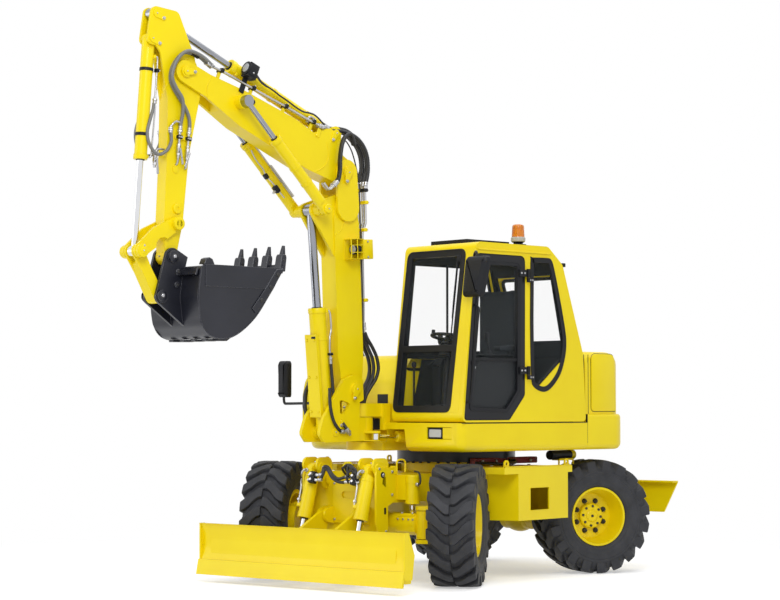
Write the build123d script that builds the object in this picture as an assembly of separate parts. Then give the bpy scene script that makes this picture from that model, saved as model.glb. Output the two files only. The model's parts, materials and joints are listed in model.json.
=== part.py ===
"""Wheeled excavator: two-piece boom on a swing post, dozer blade, four-wheel steering.

Row frame: X forward, Y to the left, Z up, ground at Z = 0, millimetres and degrees.  The origin lies on
the ground in the chassis' centre plane, midway along the machine.  Chassis sizes are measured from the
slew axis, which stands SLEW_X from the origin.  Everything above the slew ring is drawn facing straight
ahead and is then turned by UPPER_TURN, as the machine stands.
"""
from build123d import *
from math import atan2, cos, degrees, hypot, radians, sin
import os

# ---------------------------------------------------------------- driving sizes
# placing
SLEW_X = -935.0            # slew axis along X, from the origin
UPPER_TURN = -7.0          # upper structure turned about the slew axis
RUN = 0.4                  # radial clearance of a shaft in its bore
SEAT = 0.3                 # clearance of a piece on its seat
GAP = 6.0                  # clearance between pieces that pass each other

# wheels and steering
TYRE_RADIUS = 537.0        # over the lugs
TYRE_WIDTH = 410.0
AXLE_HEIGHT = TYRE_RADIUS
LUG_HEIGHT = 34.0
LUG_COUNT = 19             # on each side of a tyre
LUG_WIDTH = 92.0           # along the tread
LUG_HEAD = 104.0           # how far a lug's head leads its middle
LUG_SWEEP = 138.0          # how far its shoulder end trails its head
LUG_SPLIT = 5.0            # from a lug's head to the centre line
RIM_RADIUS = 276.0         # over the flange
RIM_SEAT_RADIUS = 252.0
RIM_WALL = 12.0
RIM_WIDTH = 340.0
RIM_DISC_RADIUS = 214.0
RIM_DISC_SET = -20.0       # disc's outer face, outboard of the wheel's middle
RIM_DISC_WALL = 18.0
HUB_RADIUS = 118.0
AXLE_FRONT_X = 1320.0
AXLE_REAR_X = -1025.0
KINGPIN_Y = 667.0
KINGPIN_TO_WHEEL = 310.0
KINGPIN_RADIUS = 32.0
STEER_INNER = 29.0         # left wheels, turned to the left at the front
STEER_OUTER = 24.0         # right wheels
SPINDLE_RADIUS = 60.0
KNUCKLE_DRUM_RADIUS = 150.0
FORK_GAP = 128.0           # half the gap between a knuckle's fork plates
FORK_WALL = 36.0
AXLE_TUBE_RADIUS = 95.0
DIFFERENTIAL_RADIUS = 190.0

# chassis
FRAME_HALF = 400.0
FRAME_TOP = 970.0
FRAME_BOTTOM = 665.0
FRAME_FRONT = 1440.0
FRAME_REAR = -1330.0
RING_RADIUS = 560.0
RING_BORE = 470.0
RING_TOP = 1166.0
PEDESTAL_TOP = 1062.0
PEDESTAL_RADIUS = 520.0
STEP_OUT = 1100.0          # side steps' outer face, from the centre plane
STEP_TOP = 1030.0
STEP_BOTTOM = 550.0
STEP_WALL = 14.0
STEP_REAR = -230.0
STEP_FRONT = 560.0
TIE_DOWN_RADIUS = 18.0
BUMPER_X = -1950.0
BUMPER_TOP = 845.0
BUMPER_BOTTOM = 535.0
BUMPER_HALF = 1250.0

# blade
BLADE_X = 2250.0           # front of the cutting edge
BLADE_HALF = 1200.0
BLADE_BOTTOM = 70.0
BLADE_TOP = 527.0
BLADE_WALL = 16.0
BLADE_PIVOT = (1640.0, 610.0)
BLADE_ARM_Y = 206.0
BLADE_ARM_WALL = 34.0
BLADE_EYE_TOP = (1650.0, 1030.0)
BLADE_EYE_LOW = (1850.0, 350.0)
TOWER_BACK = 1530.0
BLADE_CYLINDER_Y = 330.0
BLADE_BARREL = 468.0
BLADE_ROD_END = 230.0      # a rod's inner end, from its barrel's base pin
BLADE_BARREL_RADIUS = 62.0
BLADE_ROD_RADIUS = 24.0

# deck and body
DECK_BOTTOM = 1174.0
DECK_TOP = 1430.0
DECK_FRONT = 1060.0
DECK_HALF = 1130.0
TAIL_RADIUS = 1560.0
COUNTERWEIGHT_FRONT = -600.0
COUNTERWEIGHT_TOP = 1505.0
HOOD_TOP = 2090.0
HOOD_FRONT = -586.0
BODY_WALL = 35.0
GRILLE_SLOTS = 9           # in the hood's right flank
GRILLE_PITCH = 34.0
HOUSING_TOP = 2050.0
HOUSING_LEFT = 205.0
HOUSING_FRONT = 960.0
MIRROR_X = 1090.0          # the right mirror's stalk

# cab
CAB_RIGHT = 225.0
CAB_LEFT = 1130.0
CAB_WALL = 40.0
CAB_BASE = DECK_TOP + 6.0  # on its mounts
CAB_HEIGHT = 1604.0
CAB_TOP = CAB_BASE + CAB_HEIGHT
CAB_BELT = CAB_BASE + 629.0  # where the back's slope begins
SCREEN_RAKE = 190.0        # how far the windscreen leans back over the cab's height
DOOR_GAP = 8.0
DOOR_HINGE = (226.0, CAB_LEFT + 26.0)
HINGE_RADIUS = 15.0
HINGE_LENGTH = 80.0
HINGE_HEIGHTS = (CAB_BASE + 424, CAB_TOP - 300)
HATCH_X = (230.0, 740.0)
HATCH_Y = (460.0, 880.0)
GLASS = 6.0

# swing post
POST_X = 1240.0
POST_BOSS_RADIUS = 120.0
POST_PIN_RADIUS = 45.0
EAR_LOW = (1182.0, 1258.0)
EAR_HIGH = (1484.0, 1604.0)
CHEEK_INNER = 104.0
CHEEK_WALL = 36.0
SWING_EYE = (1225.0, 200.0)
SWING_BASE = (560.0, 320.0)
SWING_Z = 1304.0
SWING_EYE_RADIUS = 44.0
SWING_CLEVIS = 52.0        # half height of the clevis round the rod's eye
SWING_ROD_EYE = 26.0       # half height
SWING_BARREL = 450.0
SWING_ROD_END = 268.0

# arm gear: pins as (along, above) in each member's own axes
FOOT = (1419.0, 1733.0)
LIFT_BASE = (1661.0, 1348.0)
LOWER_LENGTH = 1953.0
LOWER_ANGLE = 87.4
LOWER_HALF = 95.0
BRACKET_PIN = (LOWER_LENGTH - 341, -345.0)
UPPER_LENGTH = 1954.0
UPPER_ANGLE = 21.8
UPPER_HALF = 95.0
POSITION_PIN = (1334.0, 25.0)
POSITION_Y = 200.0
ARM_BASE_PIN = (230.0, 285.0)
ARM_BARREL_RADIUS = 60.0
ARM_LENGTH = 1582.0
ARM_ANGLE = -85.5
ARM_HALF = 60.0
ARM_ROD_PIN = (-441.0, 317.0)
BUCKET_BASE_PIN = (-223.0, 340.0)
ROCKER_PIN = (ARM_LENGTH - 282, -19.0)
ROCKER_LENGTH = 447.0
ROCKER_ANGLE = -33.4
LINK_LENGTH = 434.0
LINK_ANGLE = -120.3
# cylinders: a barrel's length from its base pin, and how far from that pin its rod's inner end stands
GLAND = 4.0                # how far a barrel's gland stands proud of it
GLAND_LENGTH = 46.0
LIFT_RADIUS = 76.0
GUARD_SPAN = (140.0, 880.0)  # the guard on the lift cylinder, from the barrel's base pin
LIFT_BARREL = 1113.0
LIFT_ROD_END = 470.0
POSITION_BARREL = 828.0
POSITION_ROD_END = 350.0
ARM_BARREL = 1262.0
ARM_ROD_END = 740.0
BUCKET_BARREL = 1025.0
BUCKET_ROD_END = 770.0
PIN_RADIUS = 30.0
FOOT_PIN_RADIUS = 45.0     # at the boom's foot and elbow
ARM_PIN_RADIUS = 38.0
BUCKET_PIN_RADIUS = 34.0
SWING_PIN_RADIUS = 20.0
SIDE_GAP = 6.0             # across a pinned joint, between an eye and the plate beside it
PLATE = 26.0
LIFT_EYE_HALF = 50.0
ROD_EYE_HALF = 32.0
ROCKER_OUT = 126.0         # outer ends of the rockers' bosses, from the centre plane
NECK = 38.0                # flattened length of a barrel beyond its base eye

# bucket
BUCKET_HALF = 330.0
BUCKET_WALL = 16.0
TOOTH_COUNT = 4
TOOTH_LENGTH = 165.0
TOOTH_WIDTH = 62.0


# ---------------------------------------------------------------- drawing helpers
def outline(points, radius=0.0):
    """A closed face through points, its corners rounded by one radius or by a list of them."""
    if isinstance(radius, (int, float)) and radius == 0:
        return make_face(Polyline(*points, close=True))
    return make_face(FilletPolyline(*points, radius=radius, close=True))


def hull(*eyes):
    """The outline that wraps round circles given as (x, y, radius)."""
    return make_hull([(Pos(x, y) * Circle(r)).edges()[0] for x, y, r in eyes])


def along_x(face, low, high):
    """A face drawn as (Y, Z), made solid from one X to another."""
    return extrude(Plane((low, 0, 0), x_dir=(0, 1, 0), z_dir=(1, 0, 0)) * face, high - low)


def along_y(face, low, high):
    """A face drawn as (X, Z), made solid from one Y to another."""
    return extrude(Plane((0, high, 0), x_dir=(1, 0, 0), z_dir=(0, -1, 0)) * face, high - low)


def along_z(face, low, high):
    """A face drawn as (X, Y), made solid from one Z to another."""
    return extrude(Pos(0, 0, low) * face, high - low)


def block(x, y, z):
    """A box from three (low, high) pairs."""
    size = [pair[1] - pair[0] for pair in (x, y, z)]
    centre = [(pair[1] + pair[0]) / 2 for pair in (x, y, z)]
    return Pos(*centre) * Box(*size)


def bar(start, end, radius):
    """A round bar between two points."""
    way = Vector(*end) - Vector(*start)
    return extrude(Plane(Vector(*start), z_dir=way) * Circle(radius), way.length)


def pin(point, radius, low, high):
    """A round bar along Y through (x, z), from one Y to another."""
    return bar((point[0], low, point[1]), (point[0], high, point[1]), radius)


def stubs(point, radius, inner, outer):
    """A pin in two halves, from the outer plates in to the eye between them."""
    return pin(point, radius, inner, outer) + pin(point, radius, -outer, -inner)


def both_sides(make):
    """What make(side) draws, on the left and on the right."""
    return make(1) + make(-1)


def mirrored(shape):
    """The same shape on the other side of the centre plane."""
    return mirror(shape, Plane.XZ)


def member(start, angle):
    """A member's plane: its own X runs from its first pin along the member, its Y to the upper side."""
    turn = radians(angle)
    return Plane((start[0], 0, start[1]), x_dir=(cos(turn), 0, sin(turn)), z_dir=(0, -1, 0))


def slab(plane, face, low, high):
    """A face drawn on a member's plane, made solid from one Y to another."""
    return extrude(plane.offset(-high) * face, high - low)


def on(plane, point):
    """Where (along, above) on a member's plane lies in the machine, as (X, Z)."""
    spot = plane.from_local_coords((point[0], point[1]))
    return (spot.X, spot.Z)


def further(start, angle, length):
    """The point that lies a length away from start at an angle above the horizontal."""
    return (start[0] + length * cos(radians(angle)), start[1] + length * sin(radians(angle)))


def distance(start, end):
    return hypot(end[0] - start[0], end[1] - start[1])


def heading(start, end):
    return degrees(atan2(end[1] - start[1], end[0] - start[0]))


def cylinder_barrel(base, eye, radius, barrel, low, high, eye_radius, rod_radius):
    """A barrel from its base eye towards the rod's eye, bored for the rod, between two Ys."""
    middle = (low + high) / 2
    plane = member(base, heading(base, eye))
    on_line = Plane(Vector(base[0], middle, base[1]), x_dir=(0, 1, 0), z_dir=plane.x_dir)
    tube = extrude(on_line * Circle(radius), barrel)
    tube += extrude(on_line.offset(barrel - GLAND_LENGTH) * Circle(radius + GLAND), GLAND_LENGTH)
    tube -= extrude(on_line.offset(eye_radius + 30) * Circle(rod_radius + RUN), barrel)
    flank = slab(plane, Circle(eye_radius + NECK), middle - radius - 1, middle + radius + 1)
    flank -= slab(plane, Circle(eye_radius + NECK + 1), low, high)
    tube -= flank
    return tube + slab(plane, Circle(eye_radius), low, high)


def cylinder_rod(base, eye, radius, end, low, high, eye_radius):
    """A rod whose inner end stands `end` from the barrel's base pin, with its eye between two Ys."""
    middle = (low + high) / 2
    plane = member(eye, heading(eye, base))
    on_line = Plane(Vector(eye[0], middle, eye[1]), x_dir=(0, 1, 0), z_dir=plane.x_dir)
    rod = extrude(on_line * Circle(radius), distance(base, eye) - end)
    return rod + slab(plane, Circle(eye_radius), low, high)


# ---------------------------------------------------------------- wheels
def tyre():
    """A tyre about its own middle with the axle along Y: solid carcass with chevron lugs."""
    crown = TYRE_RADIUS - LUG_HEIGHT
    half = TYRE_WIDTH / 2
    bead = RIM_WIDTH / 2 - 25
    section = outline([
        (RIM_SEAT_RADIUS + SEAT, -bead), (RIM_RADIUS + 1, -bead - 6), (RIM_RADIUS + 5, -half + 28),
        (400, -half), (crown - 34, -half + 16), (crown, -half + 66),
        (crown, half - 66), (crown - 34, half - 16), (400, half),
        (RIM_RADIUS + 5, half - 28), (RIM_RADIUS + 1, bead + 6), (RIM_SEAT_RADIUS + SEAT, bead),
    ])
    carcass = revolve(section, Axis.Y)
    lugs = []
    for side in (1, -1):
        knee = LUG_HEAD - LUG_SWEEP * 0.6
        end = LUG_HEAD - LUG_SWEEP
        shoulder = half - LUG_SPLIT
        plan = outline([
            (LUG_HEAD - LUG_WIDTH, side * LUG_SPLIT), (LUG_HEAD, side * LUG_SPLIT),
            (LUG_HEAD, side * half * 0.22), (knee, side * half * 0.66),
            (end, side * shoulder), (end - LUG_WIDTH, side * shoulder),
            (knee - LUG_WIDTH * 1.1, side * half * 0.58), (LUG_HEAD - LUG_WIDTH * 1.2, side * half * 0.2),
        ])
        lug = along_z(plan, crown - 70, TYRE_RADIUS + 10)
        lug &= Rot(90, 0, 0) * Cylinder(TYRE_RADIUS, TYRE_WIDTH)
        for step in range(LUG_COUNT):
            turn = (step + (0.5 if side < 0 else 0.0)) * 360 / LUG_COUNT
            lugs.append(Rot(0, turn, 0) * lug)
    return carcass + lugs


def rim():
    """A deep-dish rim about the wheel's middle, its outboard side towards +Y, with the hub's cap."""
    half = RIM_WIDTH / 2
    seat = RIM_SEAT_RADIUS
    disc = RIM_DISC_RADIUS
    face = RIM_DISC_SET
    section = outline([
        (0, face - RIM_DISC_WALL), (disc, face - RIM_DISC_WALL), (seat - RIM_WALL, face - RIM_DISC_WALL),
        (seat - RIM_WALL, -half), (RIM_RADIUS, -half), (RIM_RADIUS, -half + 14), (seat, -half + 22),
        (seat, half - 22), (RIM_RADIUS, half - 14), (RIM_RADIUS, half), (seat + 4, half),
        (disc + 10, face + 42), (disc, face), (0, face),
    ])
    body = revolve(section, Axis.Y)
    cap = outline([(0, face - 1), (HUB_RADIUS, face - 1), (HUB_RADIUS, face + 34),
                   (HUB_RADIUS - 12, face + 46), (0, face + 46)])
    body += revolve(cap, Axis.Y)
    socket = Plane((0, face - RIM_DISC_WALL - 1, 0), z_dir=(0, 1, 0)) * Circle(SPINDLE_RADIUS + RUN)
    return body - extrude(socket, 40)


def knuckle():
    """A steering knuckle in the wheel's own axes: fork on the kingpin, drum and spindle."""
    pin_y = -KINGPIN_TO_WHEEL
    back = RIM_DISC_SET - RIM_DISC_WALL
    drum_face = back - 14
    drum_root = pin_y + 110
    drum = extrude(Plane((0, drum_root, 0), z_dir=(0, 1, 0)) * Circle(KNUCKLE_DRUM_RADIUS),
                   drum_face - drum_root)
    drum += extrude(Plane((0, drum_face, 0), z_dir=(0, 1, 0)) * Circle(SPINDLE_RADIUS), back + 30 - drum_face)
    arm = make_hull([
        (Pos(0, pin_y) * Circle(72)).edges()[0],
        *outline([(-82, drum_root), (82, drum_root), (82, drum_root + 30), (-82, drum_root + 30)]).edges(),
    ])
    bore = Pos(0, pin_y) * Circle(KINGPIN_RADIUS + RUN)
    for low in (FORK_GAP, -FORK_GAP - FORK_WALL):
        drum += along_z(arm - bore, low, low + FORK_WALL)
    return drum


def wheel_places():
    """Each corner's name, axle X, side and steering angle."""
    return [
        ("front_left", AXLE_FRONT_X, 1, STEER_INNER), ("front_right", AXLE_FRONT_X, -1, STEER_OUTER),
        ("rear_left", AXLE_REAR_X, 1, -STEER_INNER), ("rear_right", AXLE_REAR_X, -1, -STEER_OUTER),
    ]


def at_corner(x, side, steer):
    """Where a wheel's own axes stand when it is steered about its kingpin."""
    return (Pos(x, side * KINGPIN_Y, AXLE_HEIGHT) * Rot(0, 0, steer)
            * Pos(0, side * KINGPIN_TO_WHEEL, 0))


# ---------------------------------------------------------------- chassis
def axle(x):
    """A steering axle: tube, differential, and a kingpin boss with its pin at each end."""
    z = AXLE_HEIGHT
    reach = KINGPIN_Y - 40
    body = bar((x, -reach, z), (x, reach, z), AXLE_TUBE_RADIUS)
    body += Pos(x, 0, z) * Sphere(DIFFERENTIAL_RADIUS)
    half = DIFFERENTIAL_RADIUS * 0.8
    body += bar((x, -half, z), (x, half, z), DIFFERENTIAL_RADIUS * 0.86)
    boss = FORK_GAP - GAP
    for side in (1, -1):
        spot = Pos(x, side * KINGPIN_Y)
        body += along_z(spot * Circle(66), z - boss, z + boss)
        body += along_z(spot * Circle(KINGPIN_RADIUS), z - FORK_GAP - FORK_WALL, z + FORK_GAP + FORK_WALL)
    return body


def chassis_frame():
    """The welded centre frame: a box beam, saddles for both axles and the slew ring's pedestal."""
    deep = outline([
        (FRAME_REAR, FRAME_TOP), (FRAME_FRONT, FRAME_TOP), (FRAME_FRONT, FRAME_BOTTOM + 60),
        (AXLE_FRONT_X - 360, FRAME_BOTTOM + 60), (AXLE_FRONT_X - 520, FRAME_BOTTOM - 60),
        (AXLE_REAR_X + 520, FRAME_BOTTOM - 60), (AXLE_REAR_X + 360, FRAME_BOTTOM + 60),
        (FRAME_REAR, FRAME_BOTTOM + 60),
    ])
    frame = along_y(deep, -FRAME_HALF, FRAME_HALF)
    frame += along_z(Circle(PEDESTAL_RADIUS), FRAME_TOP, PEDESTAL_TOP)
    z = AXLE_HEIGHT
    rear_saddle = block((AXLE_REAR_X - 110, AXLE_REAR_X + 110), (-300, 300), (z + 60, FRAME_BOTTOM + 61))
    rear_saddle -= bar((AXLE_REAR_X, -400, z), (AXLE_REAR_X, 400, z), AXLE_TUBE_RADIUS + SEAT)
    frame += rear_saddle
    for x in (AXLE_FRONT_X, AXLE_REAR_X):
        frame -= Pos(x, 0, z) * Sphere(DIFFERENTIAL_RADIUS + GAP)
        reach = DIFFERENTIAL_RADIUS
        frame -= bar((x, -reach, z), (x, reach, z), reach * 0.86 + GAP)
    return frame


def side_step(side):
    """A hollow step box between the wheels with a toe opening in its outer face."""
    low, high = STEP_BOTTOM, STEP_TOP - 60
    rear, front = STEP_REAR, STEP_FRONT
    plan = outline([(rear - 40, STEP_OUT), (front - 60, STEP_OUT), (front, 800), (front, FRAME_HALF + SEAT),
                    (rear, FRAME_HALF + SEAT), (rear, 800)])
    outer = along_z(plan, low, high)
    inner = along_z(offset(plan, -STEP_WALL), low + STEP_WALL, high + 1)
    box = outer - inner
    box -= block((30, 320), (STEP_OUT - 60, STEP_OUT + 10), (640, 840))
    inner_edge = FRAME_HALF + 160
    flange = outline([(rear - 110, STEP_OUT), (front + 150, STEP_OUT), (front + 150, 880), (front, 800),
                      (front, inner_edge), (rear, inner_edge), (rear, 900), (rear - 110, 960)])
    box += along_z(flange, high, STEP_TOP)
    for x in (rear - 60, front + 80):
        lug = make_hull([(Pos(x, STEP_TOP + 34) * Circle(32)).edges()[0],
                         (Pos(x, STEP_TOP + 10) * Circle(32)).edges()[0]])
        lug &= Pos(x, STEP_TOP + 50) * Rectangle(200, 102)
        box += along_y(lug - Pos(x, STEP_TOP + 34) * Circle(TIE_DOWN_RADIUS), STEP_OUT - 40, STEP_OUT - 24)
    return box if side > 0 else mirrored(box)


def slew_ring():
    return along_z(Circle(RING_RADIUS) - Circle(RING_BORE), PEDESTAL_TOP + SEAT, RING_TOP)


def drivetrain():
    """Travel gearbox under the frame with a propeller shaft to each axle."""
    z = AXLE_HEIGHT
    top = FRAME_BOTTOM - 60 - SEAT
    box = block((-330, 110), (-170, 170), (430, top))
    box += bar((-110, -230, 500), (-110, 230, 500), 95)
    front = bar((110, 0, z), (AXLE_FRONT_X - 190 - SEAT, 0, z), 38)
    rear = bar((-330, 0, z), (AXLE_REAR_X + 190 + SEAT, 0, z), 38)
    return box + front + rear


def axle_lock(side):
    """The cylinder that locks the oscillating front axle, with its rod on the axle's pad."""
    y = side * 540
    z = AXLE_HEIGHT + AXLE_TUBE_RADIUS
    barrel = along_z(Pos(AXLE_FRONT_X, y) * Circle(62), z + 85, FRAME_TOP)
    rod = along_z(Pos(AXLE_FRONT_X, y) * Circle(20), z + SEAT, z + 90)
    web = block((AXLE_FRONT_X - 50, AXLE_FRONT_X + 50), sorted((side * (FRAME_HALF + SEAT), side * 520)),
                (z + 120, FRAME_TOP))
    return barrel + rod + web


def blade_tower():
    """The blade's carrier on the frame's nose: side plates, a front plate, housings and pivot ears."""
    back, front = TOWER_BACK, TOWER_BACK + 32
    carrier = block((back, front), (-436, 436), (430, 1000))
    wing = outline([(FRAME_FRONT + SEAT, 1040), (1680, 1040), (1690, 980), (1690, 560), (1640, 430),
                    (back, 430), (back, 700), (FRAME_FRONT + SEAT, 740)], [40, 30, 0, 60, 40, 0, 0, 20])
    carrier += block((FRAME_FRONT + SEAT, back + 1), (-436, 436), (860, 960))
    for side in (1, -1):
        carrier += along_y(wing, *sorted((side * 414, side * 436)))
        y = side * BLADE_CYLINDER_Y
        housing = hull((BLADE_EYE_TOP[0], BLADE_EYE_TOP[1] + 30, 62), (back + 40, BLADE_EYE_TOP[1] + 30, 62),
                       (back + 40, 900, 60))
        for low in (y - 92, y + 68):
            carrier += along_y(housing, low, low + 24)
        carrier += pin(BLADE_EYE_TOP, PIN_RADIUS, y - 92, y + 92)
    pad = Pos(25, 730) * RectangleRounded(390, 380, 40) - Pos(25, 790) * SlotOverall(180, 60)
    carrier += along_x(pad, front - 1, front + 18)
    lug = hull((-20, 1040, 46), (-70, 990, 20), (30, 990, 20)) - Pos(-20, 1046) * Circle(22)
    carrier += along_x(lug, back, front)
    for y in (BLADE_ARM_Y, -BLADE_ARM_Y):
        ear = hull((BLADE_PIVOT[0], BLADE_PIVOT[1], 62), (front, BLADE_PIVOT[1], 80))
        inner = BLADE_ARM_WALL / 2 + SIDE_GAP
        for low in (y - inner - PLATE, y + inner):
            carrier += along_y(ear, low, low + PLATE)
        carrier += pin(BLADE_PIVOT, PIN_RADIUS, y - inner - PLATE, y + inner + PLATE)
    return carrier


def rear_bumper():
    """The rear guard: a folded plate, wider at its top, on two arms from the frame."""
    face = outline([(-BUMPER_HALF, BUMPER_TOP), (BUMPER_HALF, BUMPER_TOP),
                    (BUMPER_HALF - 165, BUMPER_BOTTOM), (-BUMPER_HALF + 165, BUMPER_BOTTOM)], 12)
    guard = along_x(face, BUMPER_X, BUMPER_X + 16)
    lip = BUMPER_HALF - 12
    guard += block((BUMPER_X, BUMPER_X + 90), (-lip, lip), (BUMPER_TOP - 16, BUMPER_TOP))
    for side in (1, -1):
        arm_y = sorted((side * 330, side * 390))
        guard += block((BUMPER_X + 10, FRAME_REAR - SEAT), arm_y, (740, BUMPER_TOP - 10))
    return guard


# ---------------------------------------------------------------- blade
def blade():
    """The dozer blade: curved mouldboard, cutting edge, rear ribs and two push arms."""
    x, low, high = BLADE_X, BLADE_BOTTOM, BLADE_TOP
    hollow = 55.0
    middle = low + (high - low) * 0.58
    front = ThreePointArc((x - 20, high), (x - hollow, middle), (x - 20, low + 120))
    back = ThreePointArc((x - 20 - BLADE_WALL, low + 112), (x - hollow - BLADE_WALL, middle),
                         (x - 20 - BLADE_WALL, high))
    sheet = make_face([front, Line((x - 20, low + 120), (x - 20 - BLADE_WALL, low + 112)), back,
                       Line((x - 20 - BLADE_WALL, high), (x - 20, high))])
    body = along_y(sheet, -BLADE_HALF, BLADE_HALF)
    edge = outline([(x - 26, low + 135), (x - 6, low + 135), (x + 22, low), (x - 4, low)])
    body += along_y(edge, -BLADE_HALF, BLADE_HALF)
    beam = outline([(x - 60, high - 60), (x - 170, high - 120), (x - 170, low + 130), (x - 34, low + 60)])
    body += along_y(beam, -BLADE_HALF + 120, BLADE_HALF - 120)
    for side in (1, -1):
        end = outline([(x - 20, high), (x - 75, high), (x - 150, middle), (x - 120, low + 60),
                       (x - 20, low + 60)])
        body += along_y(end, *sorted((side * BLADE_HALF, side * (BLADE_HALF - 16))))
        y = side * BLADE_ARM_Y
        arm = outline([(BLADE_PIVOT[0] - 30, BLADE_PIVOT[1] + 50), (BLADE_PIVOT[0] + 60, BLADE_PIVOT[1] + 40),
                       (x - 200, high - 60), (x - 110, high - 100), (x - 110, low + 110), (x - 260, low + 110),
                       (BLADE_PIVOT[0] + 40, BLADE_PIVOT[1] - 200), (BLADE_PIVOT[0] - 50, BLADE_PIVOT[1] - 30)],
                      28)
        body += along_y(arm, y - BLADE_ARM_WALL / 2, y + BLADE_ARM_WALL / 2)
        lug = outline([(x - 150, high - 140), (BLADE_EYE_LOW[0] - 45, BLADE_EYE_LOW[1] + 42),
                       (BLADE_EYE_LOW[0] - 45, BLADE_EYE_LOW[1] - 42), (x - 150, low + 130)], 20)
        for low_y in (side * BLADE_CYLINDER_Y - 34 - PLATE, side * BLADE_CYLINDER_Y + 34):
            body += along_y(lug, low_y, low_y + PLATE)
        for low_y in (side * BLADE_CYLINDER_Y - 35, side * BLADE_CYLINDER_Y + 28 + SEAT):
            body += pin(BLADE_EYE_LOW, PIN_RADIUS, low_y, low_y + 7 - SEAT)
    return body - pin(BLADE_PIVOT, PIN_RADIUS + RUN, -400, 400)


def blade_barrels():
    one = [cylinder_barrel(BLADE_EYE_TOP, BLADE_EYE_LOW, BLADE_BARREL_RADIUS, BLADE_BARREL,
                           y - 28, y + 28, 42, BLADE_ROD_RADIUS)
           for y in (BLADE_CYLINDER_Y, -BLADE_CYLINDER_Y)]
    return one[0] + one[1] - pin(BLADE_EYE_TOP, PIN_RADIUS + RUN, -500, 500)


def blade_rods():
    one = [cylinder_rod(BLADE_EYE_TOP, BLADE_EYE_LOW, BLADE_ROD_RADIUS, BLADE_ROD_END, y - 28, y + 28, 42)
           for y in (BLADE_CYLINDER_Y, -BLADE_CYLINDER_Y)]
    return one[0] + one[1]


# ---------------------------------------------------------------- upper structure
def tail_plan(radius, half, front):
    """The rear body's plan: square at the front, its back an arc about the slew axis."""
    disc = Circle(radius)
    keep = Pos((front - radius * 1.2) / 2, 0) * Rectangle(front + radius * 1.2, 2 * half)
    return disc & keep


def deck():
    """The revolving deck with the ears of the swing post, the swing cylinder's bay and a lamp recess."""
    body = block((COUNTERWEIGHT_FRONT + SEAT, DECK_FRONT), (-DECK_HALF, DECK_HALF), (DECK_BOTTOM, DECK_TOP))
    body += along_z(Circle(RING_BORE - RUN), RING_TOP - 60, DECK_BOTTOM)
    low, high = DECK_BOTTOM - 1, DECK_TOP - 60
    bay = outline([(138, low), (430, low), (400, high), (168, high)])
    body -= along_x(bay, SWING_BASE[0] - 120, DECK_FRONT + 1)
    body -= block((DECK_FRONT - 90, DECK_FRONT + 1), (690, 1000), (1285, 1392))
    nose = block((DECK_FRONT - 70, DECK_FRONT + 20), (-190, 145), (DECK_BOTTOM + 8, EAR_HIGH[1]))
    ear = make_hull([(Pos(POST_X, 0) * Circle(POST_BOSS_RADIUS)).edges()[0],
                     *outline([(DECK_FRONT, -150), (DECK_FRONT + 18, -150), (DECK_FRONT + 18, 120),
                               (DECK_FRONT, 120)]).edges()])
    ear -= Pos(POST_X, 0) * Circle(POST_PIN_RADIUS + RUN)
    for low, high in (EAR_LOW, EAR_HIGH):
        nose += along_z(ear, low, high)
    swing_pin = along_z(Pos(*SWING_BASE) * Circle(SWING_PIN_RADIUS), DECK_BOTTOM, DECK_TOP - 50)
    sweep = distance((POST_X, 0), SWING_EYE) + SWING_EYE_RADIUS + GAP
    pocket = along_z(Pos(POST_X, 0) * Circle(sweep), EAR_LOW[1], SWING_Z + SWING_CLEVIS + GAP)
    pocket &= block((0, POST_X + sweep), (-30, sweep), (0, EAR_HIGH[1]))
    return body + nose + swing_pin - pocket


def counterweight():
    body = along_z(tail_plan(TAIL_RADIUS, DECK_HALF, COUNTERWEIGHT_FRONT), DECK_BOTTOM, COUNTERWEIGHT_TOP)
    low_edges = body.edges().filter_by(lambda e: abs(e.center().Z - DECK_BOTTOM) < 1)
    low_edges = low_edges.filter_by(lambda e: e.center().X < COUNTERWEIGHT_FRONT - 10)
    body = fillet(low_edges, 60)
    tray = (DECK_TOP + 10, COUNTERWEIGHT_TOP + 1)
    return body - block((COUNTERWEIGHT_FRONT - 620, COUNTERWEIGHT_FRONT + 1), (-560, 560), tray)


def engine_hood():
    """The engine's hood: a shell over the tail, open below."""
    base = COUNTERWEIGHT_TOP + SEAT
    outer = along_z(tail_plan(TAIL_RADIUS - 40, DECK_HALF - 35, HOOD_FRONT - 20), base, HOOD_TOP)
    top = outer.edges().filter_by(lambda e: abs(e.center().Z - HOOD_TOP) < 1)
    outer = fillet(top, 70)
    inner = along_z(tail_plan(TAIL_RADIUS - 40 - BODY_WALL, DECK_HALF - 35 - BODY_WALL,
                              HOOD_FRONT - 20 - BODY_WALL), base - 1, HOOD_TOP - BODY_WALL)
    hood = outer - inner
    flank = -(DECK_HALF - 35)
    for step in range(GRILLE_SLOTS):
        z = base + 150 + step * GRILLE_PITCH
        through = (flank - 1, flank + BODY_WALL + 1)
        hood -= block((HOOD_FRONT - 400, HOOD_FRONT - 80), through, (z, z + GRILLE_PITCH / 2))
    return hood


def engine_block():
    return block((-1180, -720), (-430, 430), (DECK_TOP + 10 + SEAT, DECK_TOP + 550))


def right_housing():
    """Tanks and pump bay on the right of the cab: a shell with a rounded front."""
    base = DECK_TOP + SEAT
    front = HOUSING_FRONT
    side = outline([(HOOD_FRONT + 2, base), (front, base), (front, DECK_TOP + 250),
                    (front - 30, HOUSING_TOP - 240), (front - 200, HOUSING_TOP), (HOOD_FRONT + 2, HOUSING_TOP)],
                   [0, 0, 0, 150, 130, 0])
    return along_y(side, -DECK_HALF + 12, HOUSING_LEFT)


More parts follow.
